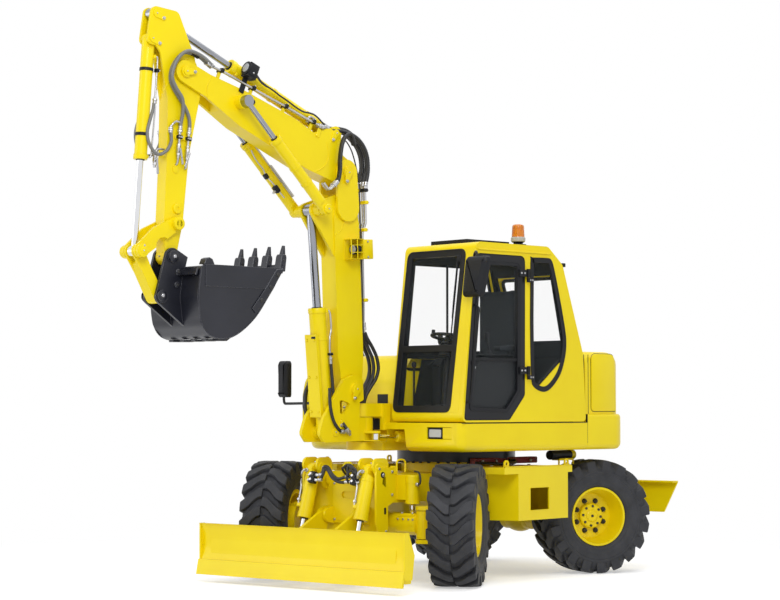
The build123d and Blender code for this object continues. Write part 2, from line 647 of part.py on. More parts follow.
def cab_profile(shrink=0.0):
    """The cab's side outline: raked windscreen, sloping back."""
    s = shrink
    rake = SCREEN_RAKE / CAB_HEIGHT
    front = DECK_FRONT - SCREEN_RAKE
    return [(-577 + s, CAB_BASE + s), (DECK_FRONT - s, CAB_BASE + s), (front + 2 - s + rake * s, CAB_TOP - s),
            (-65 + s * 0.4, CAB_TOP - s), (-262 + s, CAB_TOP - 160 - s * 0.2), (-540 + s, CAB_BELT)]


def door_profile(grow=0.0):
    g = grow
    low, high = CAB_BASE + 26 - g, CAB_TOP - 110 + g
    return [(1022 + g, low), (876 + g, high), (250 - g, high), (258 - g, CAB_BASE + 244 - g * 0.6),
            (456 - g * 0.6, low)]


def window_front():
    low, high = CAB_BASE + 109, CAB_TOP - 110
    return [(CAB_RIGHT + 62, low), (CAB_LEFT - 62, low), (CAB_LEFT - 62, high), (CAB_RIGHT + 62, high)]


def window_right():
    low, high = CAB_BASE + 464, CAB_TOP - 140
    return [(-440, low), (930, low), (850, high), (-180, high)]


def window_quarter():
    high = CAB_TOP - 115
    return [(176, high), (-118, high), (-300, CAB_BELT + 85), (-290, CAB_BELT - 35), (150, CAB_BASE + 254)]


def window_rear():
    low, high = CAB_BELT + 55, CAB_TOP - 260
    return [(CAB_RIGHT + 90, low), (CAB_LEFT - 90, low), (CAB_LEFT - 90, high), (CAB_RIGHT + 90, high)]


def offset_loop(points, radius, by):
    return offset(outline(points, radius), by)


def cab_shell():
    """The cab: floor, roof and pillars as one shell with its windows and door opening cut."""
    outer = along_y(outline(cab_profile(), [40, 60, 70, 90, 90, 40]), CAB_RIGHT, CAB_LEFT)
    inner = along_y(outline(cab_profile(CAB_WALL), [20, 40, 50, 60, 60, 20]),
                    CAB_RIGHT + CAB_WALL, CAB_LEFT - CAB_WALL)
    shell = outer - inner
    left_wall = (CAB_LEFT - CAB_WALL - 5, CAB_LEFT + 5)
    shell -= along_y(outline(door_profile(DOOR_GAP), [30, 70, 60, 60, 40]), *left_wall)
    shell -= along_x(outline(window_front(), 70), 780, DECK_FRONT + 5)
    shell -= along_y(outline(window_right(), 60), CAB_RIGHT - 5, CAB_RIGHT + CAB_WALL + 5)
    shell -= along_y(outline(window_quarter(), [50, 60, 60, 60, 60]), *left_wall)
    shell -= along_x(outline(window_rear(), 60), -620, -150)
    for z in HINGE_HEIGHTS:
        levels = (z - SEAT - 40, z - SEAT)
        shell += along_z(Pos(*DOOR_HINGE) * Circle(HINGE_RADIUS), *levels)
        shell += block((DOOR_HINGE[0] - 70, DOOR_HINGE[0]), (CAB_LEFT - 4, DOOR_HINGE[1]), levels)
    for x in (-420, 900):
        for y in (CAB_RIGHT + 110, CAB_LEFT - 110):
            shell += along_z(Pos(x, y) * Circle(50), DECK_TOP + SEAT, CAB_BASE + 1)
    shell -= block(HATCH_X, HATCH_Y, (CAB_TOP - CAB_WALL - 5, CAB_TOP + 5))
    return shell


def cab_glass():
    """Fixed panes, each seated in its opening: front, right, quarter and rear."""
    fit = -SEAT
    right = along_y(offset_loop(window_right(), 60, fit), CAB_RIGHT + 12, CAB_RIGHT + 12 + GLASS)
    quarter = along_y(offset_loop(window_quarter(), [50, 60, 60, 60, 60], fit),
                      CAB_LEFT - 12 - GLASS, CAB_LEFT - 12)
    rake = atan2(SCREEN_RAKE, CAB_HEIGHT)
    lean = Plane((DECK_FRONT - 12, 0, CAB_BASE), x_dir=(0, 1, 0), z_dir=(cos(rake), 0, sin(rake)))
    front_band = extrude(lean * Pos(600, 800) * Rectangle(2400, 2400), -GLASS)
    front = along_x(offset_loop(window_front(), 70, fit), 700, 1100) & front_band
    tilt = atan2(540 - 262, CAB_TOP - 160 - CAB_BELT)
    back = Plane((-540 + 16, 0, CAB_BELT), x_dir=(0, 1, 0), z_dir=(-cos(tilt), 0, sin(tilt)))
    back_band = extrude(back * Pos(600, -500) * Rectangle(2400, 2400), -GLASS)
    rear = along_x(offset_loop(window_rear(), 60, fit), -700, -100) & back_band
    return Compound(children=[right, quarter, front, rear])


def roof_hatch():
    """The dark roof panel set in the cab's roof."""
    fit = SEAT
    panel = block((HATCH_X[0] + fit, HATCH_X[1] - fit), (HATCH_Y[0] + fit, HATCH_Y[1] - fit),
                  (CAB_TOP - CAB_WALL, CAB_TOP + 1))
    return panel + block((HATCH_X[0] - 20, HATCH_X[1] + 20), (HATCH_Y[0] - 20, HATCH_Y[1] + 20),
                         (CAB_TOP + SEAT, CAB_TOP + 40))


def seat():
    """Seat cushion and backrest on a pedestal."""
    y = (CAB_RIGHT + CAB_LEFT) / 2
    floor = CAB_BASE + CAB_WALL + SEAT
    cushion = block((120, 600), (y - 240, y + 240), (floor + 300, floor + 420))
    cushion += block((40, 180), (y - 230, y + 230), (floor + 400, floor + 1080))
    cushion += block((150, 520), (y - 170, y + 170), (floor, floor + 301))
    return cushion


def cab_controls():
    """Armrest consoles, steering column and wheel, and travel pedals."""
    y = (CAB_RIGHT + CAB_LEFT) / 2
    floor = CAB_BASE + CAB_WALL + SEAT
    body = block((150, 640), (y - 370, y - 255), (floor, floor + 560))
    body += block((150, 640), (y + 255, y + 340), (floor, floor + 560))
    body += block((770, 860), (y - 45, y + 45), (floor, floor + 40))
    body += bar((815, y, floor + 20), (720, y, floor + 680), 38)
    wheel = Plane((712, y, floor + 705), z_dir=(-0.42, 0, 1))
    body += extrude(wheel * (Circle(185) - Circle(158)), 24)
    body += extrude(wheel * Rectangle(24, 330), 20)
    body += extrude(wheel * Circle(46), -30)
    return body


def mirrors():
    """Right mirror on its stalk from the front body, left mirror on the cab's pillar."""
    low = DECK_TOP + 180
    right = bar((HOUSING_FRONT + SEAT, -820, low), (MIRROR_X, -820, low), 16)
    right += bar((MIRROR_X, -804, low), (MIRROR_X, -1240, low), 16)
    right += bar((MIRROR_X, -1240, low - 16), (MIRROR_X, -1240, low + 150), 14)
    right += mirror_head(MIRROR_X + 10, (-1296, -1156), (low + 50, low + 400))
    high = CAB_TOP - 190
    left = bar((892, CAB_LEFT + 10, high), (960, CAB_LEFT + 95, high + 10), 14)
    left += block((860, 912), (CAB_LEFT + SEAT, CAB_LEFT + 16), (high - 30, high + 30))
    left += bar((960, CAB_LEFT + 95, high + 20), (960, CAB_LEFT + 95, high - 150), 12)
    left += mirror_head(980, (CAB_LEFT + 40, CAB_LEFT + 200), (high - 310, high + 30))
    return Compound(children=[right, left])


def mirror_head(x, y, z):
    """A mirror's rounded shell between two Ys and two Zs, its glass side to the rear."""
    rear = Plane((x - 25, (y[0] + y[1]) / 2, (z[0] + z[1]) / 2), x_dir=(0, 1, 0), z_dir=(1, 0, 0))
    size = (y[1] - y[0], z[1] - z[0])
    shell = extrude(rear * RectangleRounded(*size, 32), 22)
    return shell + loft([rear.offset(21) * RectangleRounded(*size, 32),
                         rear.offset(56) * RectangleRounded(size[0] - 46, size[1] - 70, 32)])


def beacon():
    base = CAB_TOP + SEAT
    body = along_z(Pos(110, 985) * Circle(58), base, base + 50)
    return body + along_z(Pos(110, 985) * Circle(50), base + 50, base + 200)


def headlamp():
    """The work lamp in the deck's front recess."""
    back = DECK_FRONT - 90 + SEAT
    return block((back, back + 70), (745, 945), (1292, 1386))


# ---------------------------------------------------------------- door
def door_panel():
    body = along_y(outline(door_profile(), [30, 70, 60, 60, 40]), CAB_LEFT - CAB_WALL, CAB_LEFT)
    body -= along_y(outline(door_window(), [50, 60, 60, 60, 50]), CAB_LEFT - CAB_WALL - 5, CAB_LEFT + 5)
    hinge_x = DOOR_HINGE[0]
    for z in HINGE_HEIGHTS:
        body += along_z(Pos(hinge_x, DOOR_HINGE[1]) * Circle(HINGE_RADIUS), z, z + HINGE_LENGTH)
        levels = (z + 10, z + HINGE_LENGTH - 10)
        body += block((hinge_x, hinge_x + 110), (CAB_LEFT + 10, CAB_LEFT + 24), levels)
        body += block((hinge_x + 24, hinge_x + 110), (CAB_LEFT - 4, CAB_LEFT + 14), levels)
    return body


def door_window():
    high = CAB_TOP - 168
    return [(966, CAB_BASE + 104), (846, high), (308, high), (316, CAB_BASE + 268), (480, CAB_BASE + 84)]


def door_glass():
    pane = offset_loop(door_window(), [50, 60, 60, 60, 50], -SEAT)
    return along_y(pane, CAB_LEFT - 20 - GLASS, CAB_LEFT - 20)


# ---------------------------------------------------------------- swing post
def swing_post():
    """The casting that swings the boom: boss on the swing pin, two cheeks, foot and lift pins."""
    low, high = EAR_LOW[1] + GAP, EAR_HIGH[0] - GAP
    boss = along_z(Pos(POST_X, 0) * Circle(POST_BOSS_RADIUS), low, high)
    boss += along_z(Pos(POST_X, 0) * Circle(POST_PIN_RADIUS), EAR_LOW[0], EAR_HIGH[1])
    clear = POST_X + POST_BOSS_RADIUS + GAP
    web = outline([(POST_X + 40, low), (FOOT[0] + 60, low), (FOOT[0] + 60, high), (POST_X + 40, high)])
    boss += along_y(web, -CHEEK_INNER - 20, CHEEK_INNER + 20)
    cheek = outline([(clear, low), (1790, low - 8), (1850, low + 70), (1800, low + 210), (1560, 1820),
                     (1440, 1860), (1330, 1830), (1318, EAR_HIGH[1] + 30), (clear, EAR_HIGH[1] + 12)],
                    [0, 30, 50, 60, 60, 60, 40, 20, 0])
    hole = outline([(1470, 1600), (1600, 1480), (1610, 1640)], 22)
    cheeks_out = CHEEK_INNER + CHEEK_WALL
    for side in (1, -1):
        span = sorted((side * CHEEK_INNER, side * cheeks_out))
        boss += along_y(cheek - hole, *span)
        boss += pin(LIFT_BASE, 62, *sorted((side * 56, side * (CHEEK_INNER + 1))))
        boss += pin(FOOT, 55, *sorted((side * (cheeks_out - 1), side * (cheeks_out + 20))))
    boss += pin(FOOT, FOOT_PIN_RADIUS, -cheeks_out, cheeks_out)
    boss += pin(LIFT_BASE, PIN_RADIUS, -60, 60)
    clevis = hull((*SWING_EYE, SWING_EYE_RADIUS), (POST_X + 20, 60, 60))
    inner = SWING_CLEVIS - 22
    for bottom in (SWING_Z - SWING_CLEVIS, SWING_Z + inner):
        boss += along_z(clevis, max(bottom, low), bottom + 22)
    eye = SWING_ROD_EYE + SEAT
    for from_z, to_z in ((SWING_Z - inner - 1, SWING_Z - eye), (SWING_Z + eye, SWING_Z + inner + 1)):
        boss += along_z(Pos(*SWING_EYE) * Circle(SWING_PIN_RADIUS), from_z, to_z)
    return boss


def swing_barrel():
    """The swing cylinder's barrel in the deck's bay, on an upright pin."""
    way = Vector(SWING_EYE[0] - SWING_BASE[0], SWING_EYE[1] - SWING_BASE[1], 0)
    base = Plane(Vector(*SWING_BASE, SWING_Z), z_dir=way)
    body = extrude(base.offset(20) * Circle(50), SWING_BARREL - 20)
    body += along_z(Pos(*SWING_BASE) * Circle(46), SWING_Z - 44, SWING_Z + 44)
    body -= along_z(Pos(*SWING_BASE) * Circle(SWING_PIN_RADIUS + RUN), SWING_Z - 60, SWING_Z + 60)
    return body - extrude(base.offset(72) * Circle(22 + RUN), way.length)


def swing_rod():
    way = Vector(SWING_EYE[0] - SWING_BASE[0], SWING_EYE[1] - SWING_BASE[1], 0)
    base = Plane(Vector(*SWING_BASE, SWING_Z), z_dir=way)
    rod = extrude(base.offset(SWING_ROD_END) * Circle(22), way.length - SWING_ROD_END)
    return rod + along_z(Pos(*SWING_EYE) * Circle(38), SWING_Z - SWING_ROD_EYE, SWING_Z + SWING_ROD_EYE)


# ---------------------------------------------------------------- arm gear
LOWER = member(FOOT, LOWER_ANGLE)
ELBOW = further(FOOT, LOWER_ANGLE, LOWER_LENGTH)
UPPER = member(ELBOW, UPPER_ANGLE)
ARM_PIN = further(ELBOW, UPPER_ANGLE, UPPER_LENGTH)
ARM = member(ARM_PIN, ARM_ANGLE)
BUCKET_PIN = further(ARM_PIN, ARM_ANGLE, ARM_LENGTH)
ROCKER_FOOT = on(ARM, ROCKER_PIN)
ROCKER_END = further(ROCKER_FOOT, ROCKER_ANGLE, ROCKER_LENGTH)
LINK_END = further(ROCKER_END, LINK_ANGLE, LINK_LENGTH)
BRACKET = on(LOWER, BRACKET_PIN)
POSITION_EYE = on(UPPER, POSITION_PIN)
ARM_CYLINDER_BASE = on(UPPER, ARM_BASE_PIN)
ARM_CYLINDER_EYE = on(ARM, ARM_ROD_PIN)
BUCKET_CYLINDER_BASE = on(ARM, BUCKET_BASE_PIN)


def boom_lower():
    """The lower boom: box section from the foot to the elbow's fork, with the front bracket."""
    end = LOWER_LENGTH - 253
    side = outline([(-100, -60), (-60, -110), (300, -155), (end - 140, -150), (end, -110), (end, 110),
                    (end - 200, 150), (300, 150), (-60, 110), (-100, 60)],
                   [40, 40, 200, 60, 0, 0, 200, 300, 40, 40])
    body = slab(LOWER, side, -LOWER_HALF, LOWER_HALF)
    fork = hull((end - 60, 0, 130), (LOWER_LENGTH, 0, 118))
    bracket = hull((BRACKET_PIN[0], BRACKET_PIN[1], 70), (end - 450, -120, 60), (end, -90, 60))
    outer = UPPER_HALF + SIDE_GAP
    for side_y in (1, -1):
        body += slab(LOWER, fork, *sorted((side_y * outer, side_y * (outer + PLATE))))
        root = Pos(end - 60, 0) * Rectangle(120, 200)
        body += slab(LOWER, root, *sorted((side_y * 80, side_y * (outer + 1))))
        body += slab(LOWER, bracket, *sorted((side_y * 56, side_y * 84)))
        tube = Pos(*BRACKET_PIN) * Circle(56)
        body += slab(LOWER, tube, *sorted((side_y * 60, side_y * (POSITION_Y - 34))))
        body += slab(LOWER, Pos(*BRACKET_PIN) * Circle(PIN_RADIUS),
                     *sorted((side_y * (LIFT_EYE_HALF + SEAT), side_y * (POSITION_Y + 40))))
        cap = Pos(LOWER_LENGTH, 0) * Circle(52)
        body += slab(LOWER, cap, *sorted((side_y * (outer + PLATE - 1), side_y * (outer + PLATE + 18))))
    body += pin(ELBOW, FOOT_PIN_RADIUS, -outer - PLATE, outer + PLATE)
    return body - pin(FOOT, FOOT_PIN_RADIUS + RUN, -200, 200)


def boom_upper():
    """The upper boom: humped box section, elbow eye, forked nose, and the cylinders' ears."""
    end = UPPER_LENGTH - 254
    side = outline([(-110, -50), (-40, -118), (420, -170), (end - 450, -165), (end - 20, -100), (end, 100),
                    (end - 400, 150), (700, 185), (200, 150), (-40, 118), (-110, 50)],
                   [40, 60, 200, 300, 0, 0, 200, 400, 200, 60, 40])
    body = slab(UPPER, side, -UPPER_HALF, UPPER_HALF)
    nose = UPPER_LENGTH
    throat = outline([(nose, -300), (nose - 590, -300), (nose - 350, 40), (nose - 330, 200), (nose, 200)],
                     [0, 0, 60, 0, 0])
    body -= slab(UPPER, throat, -ARM_HALF - SIDE_GAP, ARM_HALF + SIDE_GAP)
    fork = hull((nose - 304, 0, 100), (nose, 0, 96))
    ears = hull((ARM_BASE_PIN[0], ARM_BASE_PIN[1], 62), (ARM_BASE_PIN[0] - 60, 110, 60),
                (ARM_BASE_PIN[0] + 220, 110, 60))
    inner = ARM_HALF + SIDE_GAP
    for side_y in (1, -1):
        body += slab(UPPER, fork, *sorted((side_y * inner, side_y * UPPER_HALF)))
        body += slab(UPPER, ears, *sorted((side_y * (ARM_BARREL_RADIUS + GAP), side_y * UPPER_HALF)))
        body += slab(UPPER, Pos(*POSITION_PIN) * Circle(62),
                     *sorted((side_y * (UPPER_HALF - 1), side_y * (POSITION_Y - 30 - SEAT))))
        cap = Pos(UPPER_LENGTH, 0) * Circle(50)
        body += slab(UPPER, cap, *sorted((side_y * (UPPER_HALF - 1), side_y * (UPPER_HALF + 18))))
    body += pin(ARM_CYLINDER_BASE, PIN_RADIUS, -UPPER_HALF, UPPER_HALF)
    body += pin(ARM_PIN, ARM_PIN_RADIUS, -UPPER_HALF, UPPER_HALF)
    return body - pin(ELBOW, FOOT_PIN_RADIUS + RUN, -200, 200)


def arm():
    """The digging arm: slender box with two top plates for the arm and bucket cylinders."""
    side = outline([(-120, -130), (160, -200), (700, -120), (ARM_LENGTH - 300, -104), (ARM_LENGTH - 30, -62),
                    (ARM_LENGTH - 30, 60), (ARM_LENGTH - 300, 92), (700, 110), (120, 150), (-120, 170)],
                   [60, 120, 200, 60, 0, 0, 60, 200, 100, 0])
    body = slab(ARM, side, -ARM_HALF, ARM_HALF)
    body += slab(ARM, Pos(ARM_LENGTH, 0) * Circle(66), -ARM_HALF, ARM_HALF)
    plate = outline([(-500, 372), (-500, 92), (-150, -110), (0, -150), (300, -60), (300, 130), (-120, 250),
                     (-172, 300), (-172, 398)], [60, 60, 60, 40, 20, 20, 60, 20, 50])
    for side_y in (1, -1):
        body += slab(ARM, plate, *sorted((side_y * 40, side_y * ARM_HALF)))
        body += slab(ARM, Pos(*ROCKER_PIN) * Circle(62), *sorted((side_y * 40, side_y * (ARM_HALF + 1))))
    body += stubs(ARM_CYLINDER_EYE, PIN_RADIUS, ROD_EYE_HALF + SEAT, ARM_HALF)
    body += pin(BUCKET_CYLINDER_BASE, PIN_RADIUS, -ARM_HALF, ARM_HALF)
    body += pin(ROCKER_FOOT, PIN_RADIUS, -ROCKER_OUT - 8, ROCKER_OUT + 8)
    body -= pin(ARM_PIN, ARM_PIN_RADIUS + RUN, -200, 200)
    return body - pin(BUCKET_PIN, BUCKET_PIN_RADIUS + RUN, -200, 200)


def rockers():
    """The two curved rocker plates with their outer bosses."""
    plane = member(ROCKER_FOOT, ROCKER_ANGLE)
    plate = hull((0, 0, 58), (ROCKER_LENGTH * 0.5, 40, 52), (ROCKER_LENGTH, 0, 60))
    plate -= Pos(ROCKER_LENGTH * 0.5, -95) * Circle(80)
    inner = ARM_HALF + SIDE_GAP
    both = []
    for side_y in (1, -1):
        one = slab(plane, plate, *sorted((side_y * inner, side_y * (inner + PLATE))))
        for along in (0, ROCKER_LENGTH):
            boss = Pos(along, 0) * Circle(56)
            one += slab(plane, boss, *sorted((side_y * (inner + PLATE - 1), side_y * ROCKER_OUT)))
        one += pin(ROCKER_END, PIN_RADIUS, *sorted((side_y * (ROD_EYE_HALF + SEAT), side_y * (inner + 1))))
        both.append(one - pin(ROCKER_FOOT, PIN_RADIUS + RUN, -200, 200))
    return Compound(children=both)


def bucket_link():
    """The box link from the rockers' pin to the bucket: forked at the top, an eye at the bottom."""
    plane = member(ROCKER_END, LINK_ANGLE)
    body = slab(plane, hull((120, 0, 48), (LINK_LENGTH, 0, 54)), -ARM_HALF, ARM_HALF)
    cheek = hull((0, 0, 60), (160, 0, 50))
    for side_y in (1, -1):
        body += slab(plane, cheek, *sorted((side_y * 40, side_y * ARM_HALF)))
    return body - pin(ROCKER_END, PIN_RADIUS + RUN, -200, 200)


def lift_barrel():
    """The lift cylinder's barrel with the folded guard along its front."""
    barrel = cylinder_barrel(LIFT_BASE, BRACKET, LIFT_RADIUS, LIFT_BARREL,
                             -LIFT_EYE_HALF, LIFT_EYE_HALF, 58, 38)
    plane = member(LIFT_BASE, heading(LIFT_BASE, BRACKET))
    reach = LIFT_RADIUS + 20
    middle = (GUARD_SPAN[0] + GUARD_SPAN[1]) / 2
    length = GUARD_SPAN[1] - GUARD_SPAN[0]
    strip = Pos(middle, -reach) * Rectangle(length, 8)
    fold = Pos(middle, 12 - reach) * Rectangle(length, 30)
    barrel += slab(plane, strip, -LIFT_RADIUS, LIFT_RADIUS)
    for low in (-LIFT_RADIUS, LIFT_RADIUS - 8):
        barrel += slab(plane, fold, low, low + 8)
    for along in (GUARD_SPAN[0] + 90, GUARD_SPAN[1] - 60):
        barrel += slab(plane, Pos(along, -reach / 2 - 24) * Rectangle(60, reach - 46), -30, 30)
    return barrel - pin(LIFT_BASE, PIN_RADIUS + RUN, -200, 200)


def lift_rod():
    return cylinder_rod(LIFT_BASE, BRACKET, 38, LIFT_ROD_END, -LIFT_EYE_HALF, LIFT_EYE_HALF, 56)


def positioning_barrels():
    one = [cylinder_barrel(BRACKET, POSITION_EYE, 50, POSITION_BARREL, y - 30, y + 30, 52, 24)
           for y in (POSITION_Y, -POSITION_Y)]
    hole = pin(BRACKET, PIN_RADIUS + RUN, -300, 300)
    return Compound(children=[one[0] - hole, one[1] - hole])


def positioning_rods():
    one = [cylinder_rod(BRACKET, POSITION_EYE, 24, POSITION_ROD_END, y - 30, y + 30, 52)
           for y in (POSITION_Y, -POSITION_Y)]
    return Compound(children=one)


def arm_barrel():
    barrel = cylinder_barrel(ARM_CYLINDER_BASE, ARM_CYLINDER_EYE, ARM_BARREL_RADIUS, ARM_BARREL,
                             -ARM_BARREL_RADIUS, ARM_BARREL_RADIUS, 58, 30)
    return barrel - pin(ARM_CYLINDER_BASE, PIN_RADIUS + RUN, -100, 100)


def arm_rod():
    return cylinder_rod(ARM_CYLINDER_BASE, ARM_CYLINDER_EYE, 30, ARM_ROD_END, -ROD_EYE_HALF, ROD_EYE_HALF, 52)


def bucket_barrel():
    barrel = cylinder_barrel(BUCKET_CYLINDER_BASE, ROCKER_END, 54, BUCKET_BARREL,
                             -ROD_EYE_HALF, ROD_EYE_HALF, 50, 27)
    return barrel - pin(BUCKET_CYLINDER_BASE, PIN_RADIUS + RUN, -200, 200)


def bucket_rod():
    return cylinder_rod(BUCKET_CYLINDER_BASE, ROCKER_END, 27, BUCKET_ROD_END, -ROD_EYE_HALF, ROD_EYE_HALF, 50)


# ---------------------------------------------------------------- bucket
def bucket_section():
    """The bucket's side outline about its pin."""
    return outline([(-1020, -60), (-900, -250), (-690, -520), (-450, -680), (-230, -685), (-110, -570),
                    (-78, -340), (-110, -95), (-150, -70), (-640, -92)],
                   [0, 300, 300, 200, 120, 120, 200, 60, 0, 0])


def bucket():
    """The bucket: curved sheet, side plates with their cutting strips, and two hanger ears."""
    base = Plane((BUCKET_PIN[0], 0, BUCKET_PIN[1]), x_dir=(1, 0, 0), z_dir=(0, -1, 0))
    body = slab(base, bucket_section(), -BUCKET_HALF, BUCKET_HALF)
    hollow = outline([(-1060, 40), (-884, -238), (-680, -500), (-448, -662), (-236, -667), (-128, -560),
                      (-96, -340), (-128, -110), (-168, 40)],
                     [0, 290, 290, 190, 110, 110, 190, 50, 0])
    body -= slab(base, hollow, -BUCKET_HALF + BUCKET_WALL, BUCKET_HALF - BUCKET_WALL)
    inner = ARM_HALF + SIDE_GAP
    link = base.to_local_coords(Vector(LINK_END[0], 0, LINK_END[1]))
    ear = hull((0, 0, 74), (link.X, link.Y, 60), (-130, -560, 20), (-300, -90, 18))
    keep = slab(base, hollow, -BUCKET_HALF + BUCKET_WALL, BUCKET_HALF - BUCKET_WALL)
    for side_y in (1, -1):
        body += slab(base, ear, *sorted((side_y * inner, side_y * (inner + PLATE)))) - keep
        for spot in ((0, 0), (link.X, link.Y)):
            boss = Pos(*spot) * Circle(50)
            body += slab(base, boss, *sorted((side_y * (inner + PLATE - 1), side_y * (inner + PLATE + 20))))
    body += pin(BUCKET_PIN, BUCKET_PIN_RADIUS, -inner - PLATE, inner + PLATE)
    body += stubs(LINK_END, PIN_RADIUS, ARM_HALF + SEAT, inner + 1)
    lip = outline([(-1020, -60), (-1034, -36), (-1016, -28), (-985, -100), (-1003, -110)])
    body += slab(base, lip, -BUCKET_HALF, BUCKET_HALF)
    return body


def bucket_teeth():
    """Pointed teeth on the bucket's lip."""
    base = Plane((BUCKET_PIN[0], 0, BUCKET_PIN[1]), x_dir=(1, 0, 0), z_dir=(0, -1, 0))
    teeth = []
    for step in range(TOOTH_COUNT):
        middle = -BUCKET_HALF + 46 + step * (2 * BUCKET_HALF - 92) / (TOOTH_COUNT - 1)
        way = Plane(base.from_local_coords((-1025, -29 + SEAT)) + Vector(0, middle, 0),
                    x_dir=(0, 1, 0), z_dir=(-0.16, 0, 1))
        teeth.append(loft([way * Rectangle(TOOTH_WIDTH, 54),
                           way.offset(TOOTH_LENGTH) * Rectangle(26, 14)]))
    return Compound(children=teeth)


# ---------------------------------------------------------------- lamps on the booms
def boom_lower_lamp():
    """Work lamp in its guard on the cab side of the lower boom."""
    return slab(LOWER, Pos(1290, 150 + 60 + SEAT) * Rectangle(96, 120), -70, 70)


def boom_upper_lamp():
    """Work lamp above the upper boom, on a strap up its left side."""
    strap = Pos(1356, 185) * Rectangle(50, 150)
    body = slab(UPPER, strap, UPPER_HALF + SEAT, UPPER_HALF + 10)
    return body + slab(UPPER, Pos(1356, 310) * Rectangle(100, 130), UPPER_HALF + 1, UPPER_HALF + 90)


# ---------------------------------------------------------------- writing
def upper(shape):
    """Turn a piece of the upper structure to where it stands."""
    return Rot(0, 0, UPPER_TURN) * shape


def write(name, shape):
    export_step(Pos(SLEW_X, 0, 0) * shape, f"parts/{name}.step")


CHASSIS = {
    "chassis_frame": chassis_frame, "slew_ring": slew_ring, "drivetrain": drivetrain,
    "blade_tower": blade_tower, "rear_bumper": rear_bumper, "blade": blade,
    "blade_cylinder_barrels": blade_barrels, "blade_cylinder_rods": blade_rods,
}
UPPER_PIECES = {
    "deck": deck, "counterweight": counterweight, "engine_hood": engine_hood, "engine_block": engine_block,
    "right_housing": right_housing, "cab_shell": cab_shell, "cab_glass": cab_glass, "roof_hatch": roof_hatch,
    "seat": seat, "cab_controls": cab_controls, "mirrors": mirrors, "beacon": beacon, "headlamp": headlamp,
    "door_panel": door_panel, "door_glass": door_glass, "swing_post": swing_post,
    "swing_cylinder_barrel": swing_barrel, "swing_cylinder_rod": swing_rod,
    "boom_lower": boom_lower, "boom_upper": boom_upper, "arm": arm,
    "rockers": rockers, "bucket_link": bucket_link, "bucket": bucket, "bucket_teeth": bucket_teeth,
    "lift_cylinder_barrel": lift_barrel, "lift_cylinder_rod": lift_rod,
    "positioning_cylinder_barrels": positioning_barrels, "positioning_cylinder_rods": positioning_rods,
    "arm_cylinder_barrel": arm_barrel, "arm_cylinder_rod": arm_rod,
    "bucket_cylinder_barrel": bucket_barrel, "bucket_cylinder_rod": bucket_rod,
    "boom_lower_lamp": boom_lower_lamp, "boom_upper_lamp": boom_upper_lamp,
}


def main():
    os.makedirs("parts", exist_ok=True)
    for name, make in CHASSIS.items():
        write(name, make())
    write("side_steps", both_sides(side_step))
    write("axle_locks", both_sides(axle_lock))
    write("front_axle", axle(AXLE_FRONT_X))
    write("rear_axle", axle(AXLE_REAR_X))
    left = {"tyre": tyre(), "rim": rim(), "knuckle": knuckle()}
    right = {name: mirrored(shape) for name, shape in left.items()}
    for corner, x, side, steer in wheel_places():
        for name, shape in (left if side > 0 else right).items():
            write(f"{name}_{corner}", at_corner(x, side, steer) * shape)
    for name, make in UPPER_PIECES.items():
        write(name, upper(make()))


if __name__ == "__main__":
    main()
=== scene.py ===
import bpy
import bmesh
import json
import math
from mathutils import Matrix, Vector


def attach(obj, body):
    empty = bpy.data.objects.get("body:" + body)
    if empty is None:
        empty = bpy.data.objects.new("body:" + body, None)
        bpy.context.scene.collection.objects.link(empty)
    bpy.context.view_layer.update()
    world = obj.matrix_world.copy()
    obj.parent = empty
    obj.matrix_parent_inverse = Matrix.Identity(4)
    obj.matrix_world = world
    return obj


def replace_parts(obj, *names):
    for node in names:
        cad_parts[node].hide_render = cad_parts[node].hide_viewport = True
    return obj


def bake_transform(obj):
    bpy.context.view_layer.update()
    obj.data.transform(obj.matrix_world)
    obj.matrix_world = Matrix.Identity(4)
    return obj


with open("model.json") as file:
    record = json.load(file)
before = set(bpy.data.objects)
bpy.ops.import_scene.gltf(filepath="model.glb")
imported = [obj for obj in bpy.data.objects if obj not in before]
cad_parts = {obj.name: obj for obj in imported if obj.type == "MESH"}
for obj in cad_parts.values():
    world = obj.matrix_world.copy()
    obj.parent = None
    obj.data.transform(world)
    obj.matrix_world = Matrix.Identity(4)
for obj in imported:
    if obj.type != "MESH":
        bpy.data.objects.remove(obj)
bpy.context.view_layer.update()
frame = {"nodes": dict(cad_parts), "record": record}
RECORD = frame["record"]
JOINTS = {j["name"]: j for j in RECORD["behaviour"]["joints"]}
BODY_OF = {node: body for body, nodes in RECORD["behaviour"]["bodies"].items() for node in nodes}
MM = 0.001


# ---------------------------------------------------------------- node trees
def adder(tree):
    """A function that adds a node to a tree, with inputs that are linked to sockets or set to values."""
    def add(kind, inputs=None, **settings):
        node = tree.nodes.new("ShaderNode" + kind)
        for key, value in settings.items():
            setattr(node, key, value)
        for key, value in (inputs or {}).items():
            if isinstance(value, bpy.types.NodeSocket):
                tree.links.new(value, node.inputs[key])
            else:
                node.inputs[key].default_value = value
        return node
    return add


def new_material(name):
    mat = bpy.data.materials.new(name)
    mat.use_nodes = True
    mat.node_tree.nodes.clear()
    return mat, adder(mat.node_tree)


def noise(add, scale, detail=3.0):
    where = add("TexCoord").outputs["Object"]
    return add("TexNoise", {"Scale": scale, "Detail": detail, "Vector": where}).outputs[0]


def ramp(add, factor, low, high, start=0.3, end=0.7):
    node = add("ValToRGB", {0: factor})
    for element, spot, colour in zip(node.color_ramp.elements, (start, end), (low, high)):
        element.position = spot
        element.color = (*colour, 1)
    return node.outputs[0]


def spread(add, factor, low, high):
    return add("MapRange", {"Value": factor, "To Min": low, "To Max": high}).outputs[0]


